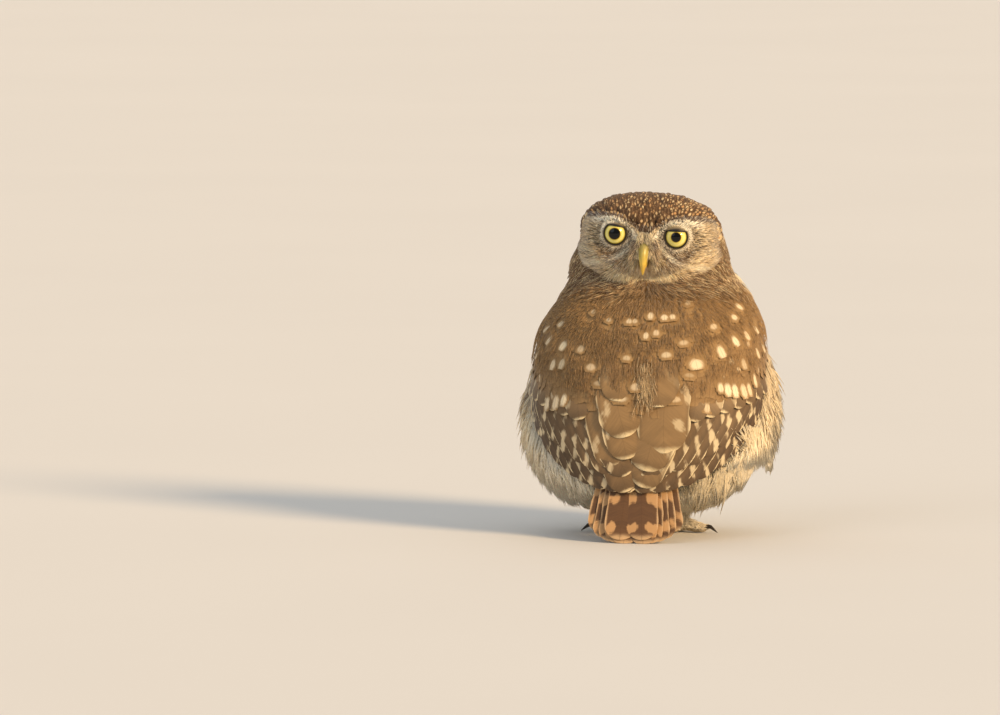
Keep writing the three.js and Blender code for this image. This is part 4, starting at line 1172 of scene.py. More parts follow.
def makeMantle():
    backFeather = vaneMaterial("mantleFeather", {
        "edgeColour": "#a98a5e", "coreColour": "#6b5236", "core": 0.16, "edge": 0.42, "edgeFrom": 0.72,
        "spotColour": "#f4e4c0", "shaftColour": "#3c2d1e", "shaft": 0.25, "barbMm": 0.55, "contrast": 0.13, "bump": 0.35})
    mantle = rowSites(bodyCoat["mantle"], lambda a, z: (rightSide(a) < 30) & (z > mantleLow(a)) & offHead(bodyPoint(a, z)),
                      capeHeading, -1.5, 0.35)
    mantle["tint"] = speckled(bodyTint(-pi / 2, mantle["z"]), 0.05)
    mantle["mark"] = np.tile(noSpot, (len(mantle["at"]), 1))
    mantle["at"][:, 0] -= neckShift(mantle["angle"], mantle["z"])
    wider = [(a, h, 1.25 * w, 1.25 * l, f) for a, h, w, l, f in backSpots]
    spots = spotSites(wider, 13, 8.0, 0.85, capeHeading, bodyRows)
    spots["tint"] = speckled(bodyTint(-pi / 2, spots["z"]), 0.04)
    ovals = spotSites(ovalSpots, 17, 7.0, 1.3, lambda a, z: 0 * a)
    fainter = [(a, h, w, l, 0.75 * f) for a, h, w, l, f in crescentSpots]
    crescents = spotSites(fainter, 14, 10, 1.0, lambda a, z: -0.3 * fromMiddle(a))
    for group in (ovals, crescents):
        group["tint"] = speckled(bodyTint(group["angle"], group["z"]), 0.04)
    sites = joinSites(mantle, spots, ovals, crescents)
    plant("mantleFeathers", "vane", sites, backFeather, 0.06, 0.1, 8)

    # Short loose barbs over the mantle, which soften the edges of its feathers
    angle, z = bodyScatter(44000, 76, 152)
    low = np.minimum(mantleLow(angle), wingEdge(angle, "plate") + 14) + 1 + draw.normal(0, 2.2, len(z))
    keep = (rightSide(angle) < 26) & (z > low) & (headDepthOf(headUnplaced(bodyPoint(angle, z))) < 1.5)
    share = lerp(0.45, 0.8, smooth(z - wingEdge(angle, "high"), -12, 4))
    share = share * lerp(1.0, 0.75, smooth(fromMiddle(angle), -0.2, 0.2))
    keep &= draw.uniform(0, 1, len(z)) < share
    angle, z = angle[keep], z[keep]
    clear = np.full(len(z), True)
    for a, h, w, l, _ in backSpots + crescentSpots + ovalSpots:
        gap = (bodyPoint(angle, z - 2.5) - bodyPoint(math.radians(a), h)) / (0.62 * np.array([w, w, l]) + 1.2)
        clear &= np.linalg.norm(gap, axis=-1) >= 1.25
    angle, z = angle[clear], z[clear]
    n, onWing = len(z), smooth(wingEdge(angle, "high") - z, -4, 4)
    length = 4.4 * jitter(n, 0.3)
    heading = capeHeading(angle, z) + draw.normal(0, 0.12, n)
    barbs = bodySites(angle, z, heading, length, -0.35 + 0.9 * onWing, 0.42 + 0.8 * onWing)
    barbs["at"][:, 0] -= neckShift(angle, z)
    # The barbs take the mantle's colour raised by 1.22: painted light that offsets the shade they cast on each other
    barbs.update(length=length, width=0.19 * jitter(n, 0.25), tint=speckled(bodyTint(-pi / 2, z) * 1.22, 0.14))
    plant("mantleBarbs", "tuft", barbs, downMaterial("looseBarb", 0.9, 1.1), 0.1, 0.2, 10)

    # Pale fluff where the scapulars of both sides part, streaming down
    n = 260
    z = draw.normal(91.5, 5.5, n)
    angle = np.radians(draw.normal(-84.5, 2.0, n) + 0.2 * (z - 92) * np.sign(draw.normal(0, 1, n)))
    length = 7.5 * jitter(n, 0.25)
    tuft = bodySites(angle, z, draw.normal(0.0, 0.22, n), length, 0.2, 0.9, cloakRows)
    tint = mix(hue["mantle"], colour("#f4dcae"), draw.uniform(0.2, 1, n))
    tuft.update(length=length, width=0.26 * jitter(n, 0.25), tint=speckled(tint, 0.08))
    plant("rumpFluff", "tuft", tuft, downMaterial("paleFluff", 0.8, 1.1), 0.1, 0.2, 16)


def makeBreast():
    frontFeather = vaneMaterial("breastFeather", {
        "edgeColour": "#efe5cc", "coreColour": "#b09a76", "core": 0.15, "edge": 0.5, "edgeFrom": 0.55,
        "spotColour": "#6b5036", "shaftColour": "#5e4630", "shaft": 0.25, "barbMm": 0.7, "contrast": 0.14, "spotAt": 0.62})

    def bare(a, z):
        front = (rightSide(a) > 30) | (z < wingEdge(a, "tips") - 12)
        return front & (tuckedIn(a, z - 9) < 0.05) & offHead(bodyPoint(a, z))

    breast = rowSites(bodyCoat["breast"], bare, lambda a, z: 0 * a, -1.8, 0.5)
    angle, z = breast["angle"], breast["z"]
    n, streaky = len(z), smooth(z, 45, 80) * (1 - smooth(z, 138, 148) * 0.5) * smooth(rightSide(angle), 5, 30)
    breast["tint"] = speckled(bodyTint(angle, z), 0.07)
    breast["mark"] = vec(streaky * draw.uniform(0.3, 0.95, n), draw.uniform(0.14, 0.24, n), draw.uniform(0.26, 0.42, n))
    plant("breastFeathers", "loose", breast, frontFeather, 0.12, 0.2, 9)


def makeRuff():
    ruffFeather = vaneMaterial("ruffFeather", {
        "edgeColour": "#6e5338", "coreColour": "#d9c49a", "core": 0.35, "edge": 0.5, "edgeFrom": 0.5,
        "spotColour": "#ecdcb6", "shaftColour": "#4a3824", "shaft": 0.3, "barbMm": 0.5, "contrast": 0.2, "spotAt": 0.62})
    look = {"low": 137, "high": 172, "step": 1.9, "spacing": 2.3, "length": 8.5, "width": 2.3}
    back = lambda a: smooth(-np.sin(a), 0.1, 0.75)
    apart = lambda a, low, high: smooth(np.abs(fromMiddle(a)), low, high)
    ruff = rowSites(look, lambda a, z: (z < ruffHigh(a)) & (z > 138.5 + 3.0 * back(a)),
                    lambda a, z: (0.3 + 0.5 * apart(a, 0.1, 0.4)) * np.sign(fromMiddle(a)) * back(a), -1.8, 0.8, ruffRows)
    a, z = ruff["angle"], ruff["z"]
    ruff["at"][:, 0] -= neckShift(a, z)
    ruff["length"] = ruff["length"] * (1 - 0.3 * back(a))
    tint = mix(mix(hue["breast"], hue["ruff"], 0.35), hue["ruff"], backness(a))
    low = smooth(146 - z, 0, 7) * backness(a) * lerp(1, 0.5, apart(a, 0.15, 0.4))
    ruff["tint"] = speckled(mix(tint, bodyTint(a, z), low), 0.14)
    ruff["mark"] = randomMarks(len(z), 0.55, (0.3, 0.95), (0.1, 0.2), (0.2, 0.45))
    ruff["mark"][:, 0] *= lerp(0.3, 1, apart(a, 0.12, 0.45)) * (1 - 0.8 * low)
    nape = (z > 150 + draw.normal(0, 1.5, len(z))) & (backness(a) < 0.5)
    plant("ruffFeathers", "loose", pick(ruff, ~nape), ruffFeather, 0.15, 0.28, 17)

    # The nape carries the crown's spotted brown on over the neck, with two pale patches
    behind, a, z, n = pick(ruff, nape), a[nape], z[nape], int(nape.sum())
    patch = np.exp(-(((np.abs(np.degrees(a) - 90) - 24) / 13) ** 2) - ((z - 157) / 4) ** 2)
    shade = layered(hue["crown"], ("ruff", 0.7 * smooth(157 - z, -2, 7)))
    sink = (7.5 * smooth(z, 155, 167))[:, None]  # the highest come out from under the crown
    behind["at"] = behind["at"] - sink * behind["out"] + draw.normal(0, 0.5, (n, 3))
    behind["lie"] = unit(behind["lie"] * 8.5 + behind["out"] * sink * 0.75)
    behind.update(width=3.4 * jitter(n, 0.2), tint=speckled(shade, 0.16))
    marks = randomMarks(n, 0.55, (0.4, 1), (0.14, 0.3), (0.14, 0.28))
    behind["mark"] = np.minimum(marks + patch[:, None] * (1, 0.14, 0.2), 1)
    plant("napeFeathers", "smallVane", behind, spotted, 0.22, 0.35, 21)

    # Fine barbs over it, brown, buff and cream, swept to both sides like a collar
    a, z = bodyScatter(17000, 135, 172, ruffRows)
    keep = z + draw.normal(0, 1.5, len(z)) < lerp(ruffHigh(a) + 1.5, 150, smooth(np.sin(a), -0.1, 0.6))
    keep &= draw.uniform(0, 1, len(z)) < lerp(0.1, 1, smooth(z, 135, 150 - 4 * back(a)))
    a, z = a[keep], z[keep]
    n, length, aside = len(z), 5.0 * jitter(len(z), 0.3), apart(a, 0.05, 0.3)
    heading = (0.5 + 0.6 * aside) * np.sign(fromMiddle(a)) * back(a) + draw.normal(0, 0.15, n)
    collar = bodySites(a, z, heading, length, -0.5, 0.9, ruffRows)
    collar["at"][:, 0] -= neckShift(a, z)
    kind = draw.uniform(0, 1, n)
    tint = mix(mix(hue["breast"], hue["ruff"], 0.3), hue["ruff"], backness(a))
    dark = (kind < lerp(0.25, 0.5, smooth(-np.cos(a), 0.1, 0.4))) * 0.75
    tint = layered(tint, ("faceDark", dark), ("chin", (kind > 0.7) * lerp(0.35, 0.8, aside)))
    tint = mix(tint, bodyTint(a, z) * 1.15, 0.9 * smooth(146 - z, 0, 6) * backness(a) * lerp(1, 0.5, aside))
    collar.update(length=length, width=0.3 * jitter(n, 0.25), tint=speckled(tint, 0.1))
    plant("collarBarbs", "tuft", collar, downMaterial("collarBarb", 0.85, 1.12), 0.1, 0.15, 20)


makeMantle()
makeBreast()
makeRuff()


# Folded wings: long vanes laid root to tip over the cloak, outermost first, and coverts over their roots.
# Each row runs along the wing; s goes from 0 at the outer edge to 1 at the middle of the back.
wingLook = {
    "primaries": {
        "count": 9, "half": (7.2, 8.4), "tilt": 10, "bow": -2, "close": 1.9,
        "root": lambda s: (lerp(-3, -46, s), lerp(93, 78, s), -3.8),
        "tip": lambda s: (lerp(-23, -89, s), 29.5 + 37 * (1 - s) ** 2.6, lerp(-3.0, -2.3, s))},
    "secondaries": {
        "count": 8, "half": (7.4, 9.0), "tilt": 10, "bow": 0, "close": 1.3,
        "root": lambda s: (lerp(-12, -58, s), lerp(98, 87, s), -2.9),
        "tip": lambda s: (lerp(-34, -86, s), 38.5 + 30 * (1 - s) ** 1.8, lerp(-1.8, -1.2, s))},
    "coverts": {
        "count": 7, "half": (7.2, 8.2), "tilt": 6, "bow": 0, "close": 1.1,
        "root": lambda s: (lerp(-2, -54, s), lerp(108, 98, s), -3.4),
        "tip": lambda s: (lerp(-13, -60, s), lerp(82, 69, s), lerp(-0.2, 0.6, s))},
    # The broad inner feathers, one over the other: root, tip, half width, then how strong their blotches are, how
    # wide the pale rim is and how far the feather bows. Those of the left wing reach less far in.
    "inner": {
        1: [((-62, 92, -2.0), (-87.0, 32.0, -1.0), 10.5, 0.3, 2.6, 0), ((-69, 94, -1.7), (-84.5, 41.0, -0.2), 13.2, 0.45, 3.2, -1),
            ((-71, 100, -1.5), (-74.0, 51.0, 0.7), 15.2, 0.5, 3.8, -2), ((-78, 106, -1.2), (-77.5, 77.0, 1.4), 12.5, 0.1, 1.0, 0)],
        -1: [((-62, 92, -2.4), (-86.0, 29.0, -1.5), 9.5, 0.0, 1.6, 0), ((-66, 94, -2.2), (-79.5, 42.5, -0.9), 11.0, 0.5, 2.8, 0),
             ((-72, 98, -1.9), (-86.0, 47.5, -0.2), 10.5, 0.6, 2.4, -1), ((-76, 102, -1.5), (-85.5, 60.0, 0.5), 12.0, 0.5, 2.8, 1),
             ((-80, 106, -1.5), (-81.0, 80.0, 0.9), 11.5, 0.1, 1.2, 0)],
    },
    "along": 30, "columns": np.array([-1, -0.86, -0.62, -0.34, -0.1, 0, 0.1, 0.34, 0.62, 0.86, 1]),
}


def vaneWidth(t, closeShare):
    grow = np.interp(t, [0, 0.3, 0.7, 1], [0.62, 0.92, 1, 1])
    return grow * np.sqrt(np.clip(1 - np.clip((t - 1 + closeShare) / (closeShare * 1.012), 0, 1) ** 2.1, 0, 1))


def bladeSteps(n):  # places along a vane, closer together towards the rounded tip
    t = np.linspace(0, 1, n)
    return lerp(t, 1 - (1 - t) ** 1.9, 0.75)


class VaneSet:  # gathers long vanes into one mesh
    def __init__(self):
        self.points, self.faces, self.uv, self.bake, self.tint, self.span, self.mark = [], [], [], [], [], [], []
        self.count = 0

    def lay(self, centre, across, up, halfWidth, length, tint, mark, outer, camber, thick, notch, close):
        columns, n = wingLook["columns"], len(centre)
        c, total, t = len(columns), n * len(columns), bladeSteps(n)
        width = halfWidth * vaneWidth(t, min(close * halfWidth / length, 0.6))
        phase, beats = draw.uniform(0, 2 * pi, 2), draw.uniform(1.5, 3.5, 2)
        ragged = 1 - notch * draw.uniform(0, 1, (n, 2)) ** 3
        reach = columns[None, :] * width[:, None]
        for edge, j in ((0, 0), (1, -1)):
            reach[:, j] *= ragged[:, edge] * (1 + 0.03 * np.sin(2 * pi * beats[edge] * t + phase[edge]))
        island = np.array([0.02 + 0.048 * (self.count % 20), 0.03 + 0.32 * (self.count // 20)])
        first = sum(len(p) for p in self.points)
        for face, lift in ((1, thick / 2), (-1, -thick / 2)):
            height = -camber * halfWidth * columns**2 * np.ones((n, 1)) + lift * (1 - np.abs(columns) ** 3)
            if face > 0:
                height[:, 5] += 0.22 * (1 - t)
            grid = centre[:, None] + across[:, None] * reach[..., None] + up[:, None] * height[..., None]
            uv = vec(0.5 - outer * 0.5 * reach / halfWidth, np.repeat(t[:, None], c, 1)).reshape(-1, 2)
            chance = draw.uniform() if face > 0 else 0.5
            for store, values in (
                (self.points, grid.reshape(-1, 3)), (self.uv, uv), (self.bake, island + uv * (0.044, 0.3)),
                (self.tint, np.tile((*tint, 1), (total, 1))), (self.mark, np.tile(mark, (total, 1))),
                (self.span, np.tile((2 * halfWidth, length, chance), (total, 1))),
            ):
                store.append(values)
        # Both sides, then both ends between them
        for a, b, rows in ((first, first + c, range(n - 1)), (first + total, first + total + c, range(n - 1)),
                           (first, first + total, (0, n - 1))):
            for i in rows:
                for j in range(i * c, i * c + c - 1):
                    quad = (a + j, a + j + 1, b + j + 1, b + j)
                    turned = a == first and not (b == first + total and i == 0)
                    self.faces.append(quad[::-1] if turned else quad)
        self.count += 1

    def finish(self, name, slot, nodes, finish):
        obj = meshObject(name, placed(np.concatenate(self.points)), self.faces)
        setCorners(obj.data, "vane", np.concatenate(self.uv))
        setCorners(obj.data, "OFBake", np.concatenate(self.bake))
        setAttribute(obj.data, "tint", "FLOAT_COLOR", "POINT", np.concatenate(self.tint).clip(0, 1))
        setAttribute(obj.data, "span", "FLOAT_VECTOR", "POINT", np.concatenate(self.span))
        setAttribute(obj.data, "mark", "FLOAT_VECTOR", "POINT", np.concatenate(self.mark))
        points = meshPoints(obj.data)
        points[:, 2] = np.maximum(points[:, 2], 0.0002)
        movePoints(obj.data, points)
        obj.data.materials.append(finish)
        keepPiece(obj, nodes)
        print(name, self.count, "vanes")


def turned(along, across, up, angle):  # the two side directions of a vane, turned round its length
    return [side * math.cos(angle) + np.cross(along, side) * math.sin(angle) for side in (across, up)]


def wingVane(vanes, side, root, tip, halfWidth, tint, mark, tilt, bow, notch, close):
    t = bladeSteps(wingLook["along"])
    degrees = lerp(root[0], tip[0], t) + bow * np.sin(pi * t)
    angle = np.radians(degrees if side > 0 else -180 - degrees)
    z, lift = lerp(root[1], tip[1], t), lerp(root[2], tip[2], t)
    normal = bodyFrame(angle, z, cloakRows)[2]
    centre = bodyPoint(angle, z, 0, cloakRows) + normal * lift[:, None]
    along = unit(np.gradient(centre, t, axis=0))
    across = unit(np.cross(along, normal))
    across, up = turned(along, across, unit(np.cross(across, along)), math.radians(tilt) * side)
    length = np.linalg.norm(np.diff(centre, axis=0), axis=1).sum()
    vanes.lay(centre, across, up, halfWidth, length, tint, mark, side, 0.08, 0.28, notch, close)


# Long wing and tail vanes: stiff keratin with a slight gloss. Pale spots stand along both webs at a real
# spacing from the tip; mark holds their strength, spacing in mm and the width of the pale tip.
def longVaneMaterial(name, look):
    look = {"slant": 0.9, "offset": 0.0, "webFrom": 0.52, "webTo": 0.8, "webLow": -1.2, "webFull": 0.3,
            "shaftGap": 0.0, "dusk": 1.0, "shaft": 0.15, **look}
    finish = Finish(name)
    (wide, long, chance), (strength, spacing, tipWide) = finish.parts("span"), finish.parts("mark")
    u, v, _ = finish.flat("vane").split()
    across = (u - 0.5).size()
    side, sideMm, alongMm = across * 2.0, across * wide, v * long
    barb = alongMm - sideMm * look["slant"]
    grain = (barb * 1.7).join(sideMm * 0.2, chance * 40.0)
    streak = grain.noise(1.0, 3.0, 0.6)
    shade = streak.around((0.91, 1.09)) * grain.noise(0.12, 2.0).around((0.9, 1.1))
    # Bars follow the barbs, so they slant, and a slow noise keeps any two of them from being alike
    blotch = (alongMm * 0.11).join(sideMm * 0.2, chance * 60.0).noise(1.0, 2.0)
    wave = ((long - barb + look["offset"]) / spacing * (2 * pi)).math("COSINE")
    web = u.eased(look["webFrom"], look["webTo"], look["webLow"], look["webFull"])
    level = wave + web + side.ranged(0.06, 0.4, -look["shaftGap"], 0.0) + (streak - 0.5) + (blotch - 0.5) * 3.2
    spot = level.eased(look["spotLow"], look["spotLow"] + 0.75, 0.0, 1.0) * strength
    # Pale rim along the outer edges and round the tip, of uneven width
    inwards, fromTip = (side * -1.0 + 1.0) * wide * 0.5, (long - alongMm) * 0.8
    uneven = (inwards * look["rimSide"]).math("SMOOTH_MIN", fromTip, 1.5) + (streak + blotch - 1.0) * 1.6
    base = finish.tint().times(shade * uneven.eased(2.0, 7.5, look["dusk"], 1.0))
    base = spot.between(base, look["spotColour"])
    base = uneven.eased(0.1, tipWide, look["rim"], 0.0).between(base, look["rimColour"])
    base = sideMm.ranged(0.12, 0.34, look["shaft"], 0.0).between(base, look["shaftColour"])
    return finish.done(base, 0.6, (streak, 0.5, barbDepth), **{"Specular IOR Level": 0.4, "Sheen Weight": 0.1})


def makeWing(side, word, finish):
    vanes = VaneSet()
    darkFlight, warmFlight = colour("#54402c"), colour("#846a48")
    for key, (strength, spacing, rim), pale in (
        ("primaries", (0.8, 12.5, 1.0), 0.1), ("secondaries", (0.8, 14.5, 1.2), 0.4), ("coverts", (0.5, 15.0, 1.6), 0.8),
    ):
        tier = wingLook[key]
        for s in np.linspace(0, 1, tier["count"]):
            tint = mix(darkFlight, warmFlight, min(pale + 0.3 * s, 1)) * jitter(1, 0.08)[0]
            mark = (strength * (1 - 0.25 * s), spacing * jitter(1, 0.12)[0], rim)
            wingVane(vanes, side, tier["root"](s), tier["tip"](s), lerp(*tier["half"], s), tint, mark,
                     tier["tilt"], tier["bow"], 0.05, tier["close"])
    for i, (root, tip, half, blotch, rim, bow) in enumerate(wingLook["inner"][side]):
        warm = 0.35 if side < 0 and i == 0 else 0.95
        tint = layered(mix(darkFlight, warmFlight, warm), ("mantle", 0.25 + 0.16 * i)) * jitter(1, 0.06)[0]
        wingVane(vanes, side, root, tip, half, tint, (blotch, 23.0, rim), 6, bow, 0.03, 1.15)
    vanes.finish("wingVanes_" + word, "flight_feathers", ("wing_" + word,), finish)


def makeWings():
    finish = longVaneMaterial("flightFeather", {
        "spotColour": "#f0dcb2", "rimColour": "#ecd7aa", "shaftColour": "#3a2b1d", "rim": 0.9, "dusk": 0.72,
        "rimSide": 1.9, "spotLow": 0.7})
    for side, word in ((1, "right"), (-1, "left")):
        makeWing(side, word, finish)
    covert = vaneMaterial("covertFeather", {
        "edgeColour": "#ab8c60", "coreColour": "#5f4830", "core": 0.2, "edge": 0.35, "edgeFrom": 0.7,
        "spotColour": "#ead8b2", "shaftColour": "#3c2d1e", "shaft": 0.3, "barbMm": 0.6, "contrast": 0.16})
    look = {"low": 60, "high": 128, "step": 4.4, "spacing": 6.2, "length": 14.5, "width": 10.5}

    def inside(a, z):
        edge = rightSide(a)
        low = wingEdge(a, "plate") + 10 + 7 * smooth(-edge, 40, 65)
        return (edge < 26) & (z > low) & (z < wingEdge(a, "high") + 5)

    def heading(a, z):
        below = smooth(z - wingEdge(a, "high"), -26, -2)
        return -np.sign(fromMiddle(a)) * 0.6 * smooth(rightSide(a), -80, -20) * (1 - 0.8 * below)

    sites = rowSites(look, inside, heading, -1.3, 0.5, cloakRows)
    sites["tint"] = speckled(layered(bodyTint(-pi / 2, sites["z"]), ("wing", 0.4)), 0.06)
    sites["mark"] = randomMarks(len(sites["z"]), 0.16, (0.4, 0.9), (0.14, 0.22), (0.12, 0.2))
    sites["mark"][:, 0] *= smooth(rightSide(sites["angle"]), -50, -30)
    plant("wingCoverts", "vane", sites, covert, 0.06, 0.1, 12)


makeWings()


# Tail: six pairs of vanes in a fan, the middle pair on top, leaning back to the floor
tailLook = {"pairs": 6, "halfWidth": 8.2, "spread": 30.5, "rootAt": (0, -44, 66), "tipAt": (0, -66, 0), "layer": 0.85, "lean": 3}


def makeTail():
    finish = longVaneMaterial("tailFeather", {
        "spotColour": "#d6a872", "rimColour": "#dcb88a", "shaftColour": "#5a3d22", "rim": 0.85, "shaft": 0.35,
        "rimSide": 2.5, "offset": 8.0, "webLow": -0.2, "webFrom": 0.4, "webTo": 0.6, "webFull": 0.0, "spotLow": 0.1,
        "slant": 0.35, "shaftGap": 1.5})
    rootAt, tipAt = np.array(tailLook["rootAt"], float), np.array(tailLook["tipAt"], float)
    along = unit(tipAt - rootAt)
    up, vanes, t = np.array([0, along[2], -along[1]]), VaneSet(), bladeSteps(wingLook["along"])
    for i in range(tailLook["pairs"])[::-1]:
        middle, reach = i == 0, (0.965, 1.0, 0.985, 0.97, 0.94, 0.88)[i]
        for side in (-1, 1):
            half = tailLook["halfWidth"] * (1.15 if middle else 1)
            share = (i + 0.5) / tailLook["pairs"] + 0.2 * middle
            spread = side * (tailLook["spread"] - tailLook["halfWidth"]) * share - 1.5 * middle
            layer = -tailLook["layer"] * (i + (0.5 if side < 0 else 0))
            centre = rootAt + np.outer(t * reach, tipAt - rootAt) + up * layer
            centre[:, 0] += spread * lerp(0.42, 1, t)
            sides = turned(along, np.array([1.0, 0, 0]), up, math.radians(tailLook["lean"]) * side)
            length = np.linalg.norm(centre[-1] - centre[0])
            tint = colour("#614429") * jitter(1, 0.1)[0]
            vanes.lay(centre, *(np.tile(way, (len(t), 1)) for way in sides), half, length, tint,
                      (0.75, 17.5 * jitter(1, 0.08)[0], 3.4), -side, 0.02, 0.3, 0.03, 1.0)
    vanes.finish("tailVanes", "tail_feathers", ("tail",), finish)


makeTail()


# Loose down of the flanks, belly and legs, in locks whose barbs draw together towards the tips
fluffLook = {
    "clumpSpacing": 8.0, "count": 52000, "length": 17, "width": 0.36, "gather": 0.5,
    "flare": 5.5, "low": 19, "high": 148,
    "pendants": [(68.0, 37.0), (61.0, 43.0), (54.0, 28.0), (42.0, 20.0), (30.0, 16.5)], "lockBarbs": 260,
}


def fluffSites():
    angle, z = bodyScatter(fluffLook["count"], fluffLook["low"], fluffLook["high"])
    edge = rightSide(angle)
    z = z + 4 * np.cos(angle) * smooth(z, 30, 60)
    keep = ((z < wingEdge(angle, "tips") + 7) | (edge > 27)) & offHead(bodyPoint(angle, z))
    thin = smooth(z, 66, 96) * smooth(edge, 24, 40)
    keep &= draw.uniform(0, 1, len(z)) < lerp(1.0, 0.85, thin)
    angle, z, edge, thin = angle[keep], z[keep], edge[keep], thin[keep]
    n, flank, tucked = len(z), np.abs(np.cos(angle)) ** 1.5, tuckedIn(angle, z)
    length = fluffLook["length"] * lerp(0.62, 1.1, smooth(z, 20, 50)) * lerp(1, 0.6, thin) * jitter(n, 0.25)
    hem = smooth(np.cos(angle - 0.16), 0.35, 0.8) * (z > 40)
    length = lerp(length, np.minimum(length, np.maximum(z - 41, 7)), hem)
    under = smooth(z - wingEdge(angle, "tips"), -5, 4) * (edge < 27)
    flare = fluffLook["flare"] * np.clip(length / 15, 0.3, 1) * lerp(0.35, 1, flank) * smooth(z, 16, 34)
    flare = flare * lerp(1, 0.2, thin) * jitter(n, 0.3)
    flare = lerp(flare * lerp(1, 0.1, tucked), lerp(-4.2, -0.3, smooth(edge, -20, 0)), under)
    rootOut = lerp(-2.5, -0.6, thin) - 3.0 * tucked - 2.4 * under * (1 - thin) * smooth(5 - edge, 0, 20)
    sites = bodySites(angle, z, draw.normal(0, 0.16, n), length, rootOut, flare - 2.0 * tucked)
    ends = sites["at"] + sites["lie"] * length[:, None]
    # Each barb leans towards the tip of the lock that it belongs to
    locks = thinned(sites["at"], fluffLook["clumpSpacing"])
    tree = KDTree(len(locks))
    for i, k in enumerate(locks):
        tree.insert(ends[k], i)
    tree.balance()
    nearest = locks[np.array([tree.find(p)[1] for p in ends])]
    lockEnd = ends[nearest] + sites["out"][nearest] * 1.2 + (0, 0, -2.0)
    loose = draw.uniform(0, 1, n) < 0.2
    ends = lerp(ends, lockEnd, (fluffLook["gather"] * jitter(n, 0.3) * (1 - thin) * ~loose)[:, None])
    ends += sites["out"] * (loose * draw.uniform(0, 3.2, n) * (1 - thin))[:, None]
    ends[:, 2] = np.maximum(ends[:, 2], 3.0)
    tint = mix(mix(hue["flank"], hue["belly"], smooth(80 - z, 0, 40)), bodyTint(angle, z), thin)
    tint = layered(tint, ("mantle", 0.35 * smooth(z, 70, 90) * (edge < 25)),
                   ("white", 0.35 * smooth(draw.uniform(0, 1, n), 0.6, 1)))
    # Brown streaks: narrow and long, with pale gaps between them
    column = np.floor((angle + pi) / 0.052).astype(int)
    place = (z + draw.uniform(0, 26, 130)[column]) / 26
    dark = (draw.uniform(0, 1, (130, 9)) < 0.62)[column, place.astype(int)] * (place % 1 < 0.62) * (column % 2 == 0)
    dark = dark * (draw.uniform(0, 1, n) < 0.85)
    tint = layered(tint, ("streak", 0.85 * dark * smooth(z, 40, 60) * smooth(np.sin(angle), -0.5, 0.1)))
    sites.update(length=np.linalg.norm(ends - sites["at"], axis=1), lie=unit(ends - sites["at"]), angle=angle,
                 width=fluffLook["width"] * jitter(n, 0.3), tint=speckled(tint, 0.09))
    return sites


def pendantSites():  # locks that hang free below the right wing: how far right and how high each tip is
    n, groups, view = fluffLook["lockBarbs"], [], math.radians(9.2)
    for reachRight, tipZ in fluffLook["pendants"]:
        girth = tableValue(bodyRows, 1, tipZ + 12) + 4
        turn = view - math.acos(min(reachRight / girth, 1)) + draw.normal(0, 0.09, n)
        height = tipZ + draw.uniform(9, 22, n)
        length = height - tipZ
        lock = bodySites(turn, height, 0 * turn, length, -0.5, 3.0)
        tip = np.array([reachRight * math.cos(view), reachRight * math.sin(view), tipZ])
        if reachRight < girth - 4:
            tip[:2] += 0.5 * (lock["at"][:, :2] + lock["lie"][:, :2] * length[:, None] - tip[:2]).mean(0)
        hang = tip + draw.normal(0, 1, (n, 3)) * (1.0, 1.0, 2.4) - lock["at"]
        lock.update(length=np.linalg.norm(hang, axis=1), lie=unit(hang), width=0.34 * jitter(n, 0.3), mark=np.zeros((n, 3)),
                    tint=speckled(mix(hue["flank"], hue["white"], draw.uniform(0, 0.8, n)), 0.08))
        groups.append(lock)
    return joinSites(*groups)


def makeFluff():
    sites, pendants, finish = fluffSites(), pendantSites(), downMaterial("bodyDown", 0.8, 1.16)
    plant("down_locks", "strand", pendants, finish, 0.08, 0.08, 19)
    angle = sites["angle"]
    right, left = (angle > -pi / 2) & (angle < 0.6), (angle < -pi / 2) | (angle > pi - 0.6)
    for word, keep in (("right", right), ("left", left), ("front", (angle >= 0.6) & (angle <= pi - 0.6))):
        plant("down_" + word, "strand", pick(sites, keep), finish, 0.08, 0.08, 14)


makeFluff()


# Eyeball: wet and very smooth. The iris is lemon yellow with fine fibres from the pupil outwards, deeper at
# its inner edge, with a dark line where it meets the white; UV "iris" is the plane across the gaze, 20 mm wide.
def eyeMaterial(name, pupil):
    finish, pupil = Finish(name), pupil / 10
    centred = finish.flat("iris").vector("SUBTRACT", (0.5, 0.5, 0.0))
    fibre = centred.vector("NORMALIZE").times(9.0).vector("ADD", centred.times(22.0)).noise(1.6, 4.0, 0.6)
    radius = centred.vector("LENGTH", output="Value") * 20.0
    base = (((fibre - 0.5) * 0.18 + radius) / 10.0).ramp(
        (0.0, "#060504"), (pupil - 0.012, "#070605"), (pupil + 0.012, "#8a6d14"), (pupil + 0.05, "#e6d86c"),
        (0.46, "#f5eb94"), (0.53, "#e4d672"), (0.575, "#8c7a24"), (0.6, "#1a140d"), (1.0, "#120e0a"))
    return finish.done(base.times(fibre.around((0.8, 1.15))), 0.5, **{
        "IOR": 1.376, "Specular IOR Level": 0.0, "Coat Weight": 1.0, "Coat Roughness": 0.02, "Coat IOR": 1.376})


# Lid: bare skin, black along the rim and greyer outside it, finely wrinkled round the eye
def lidMaterial():
    finish = Finish("eyelidSkin")
    grain = finish.where().noise(1800.0, 3.0)
    base = finish.flat("lid").split()[1].ramp((0.0, "#15100e"), (0.34, "#1b1512"), (0.55, "#8a7c62"), (1.0, "#cbbb95"))
    return finish.done(base.times(grain.around((0.75, 1.2))), 0.45, (grain, 0.6, 0.15 * mm), **{"Specular IOR Level": 0.45})


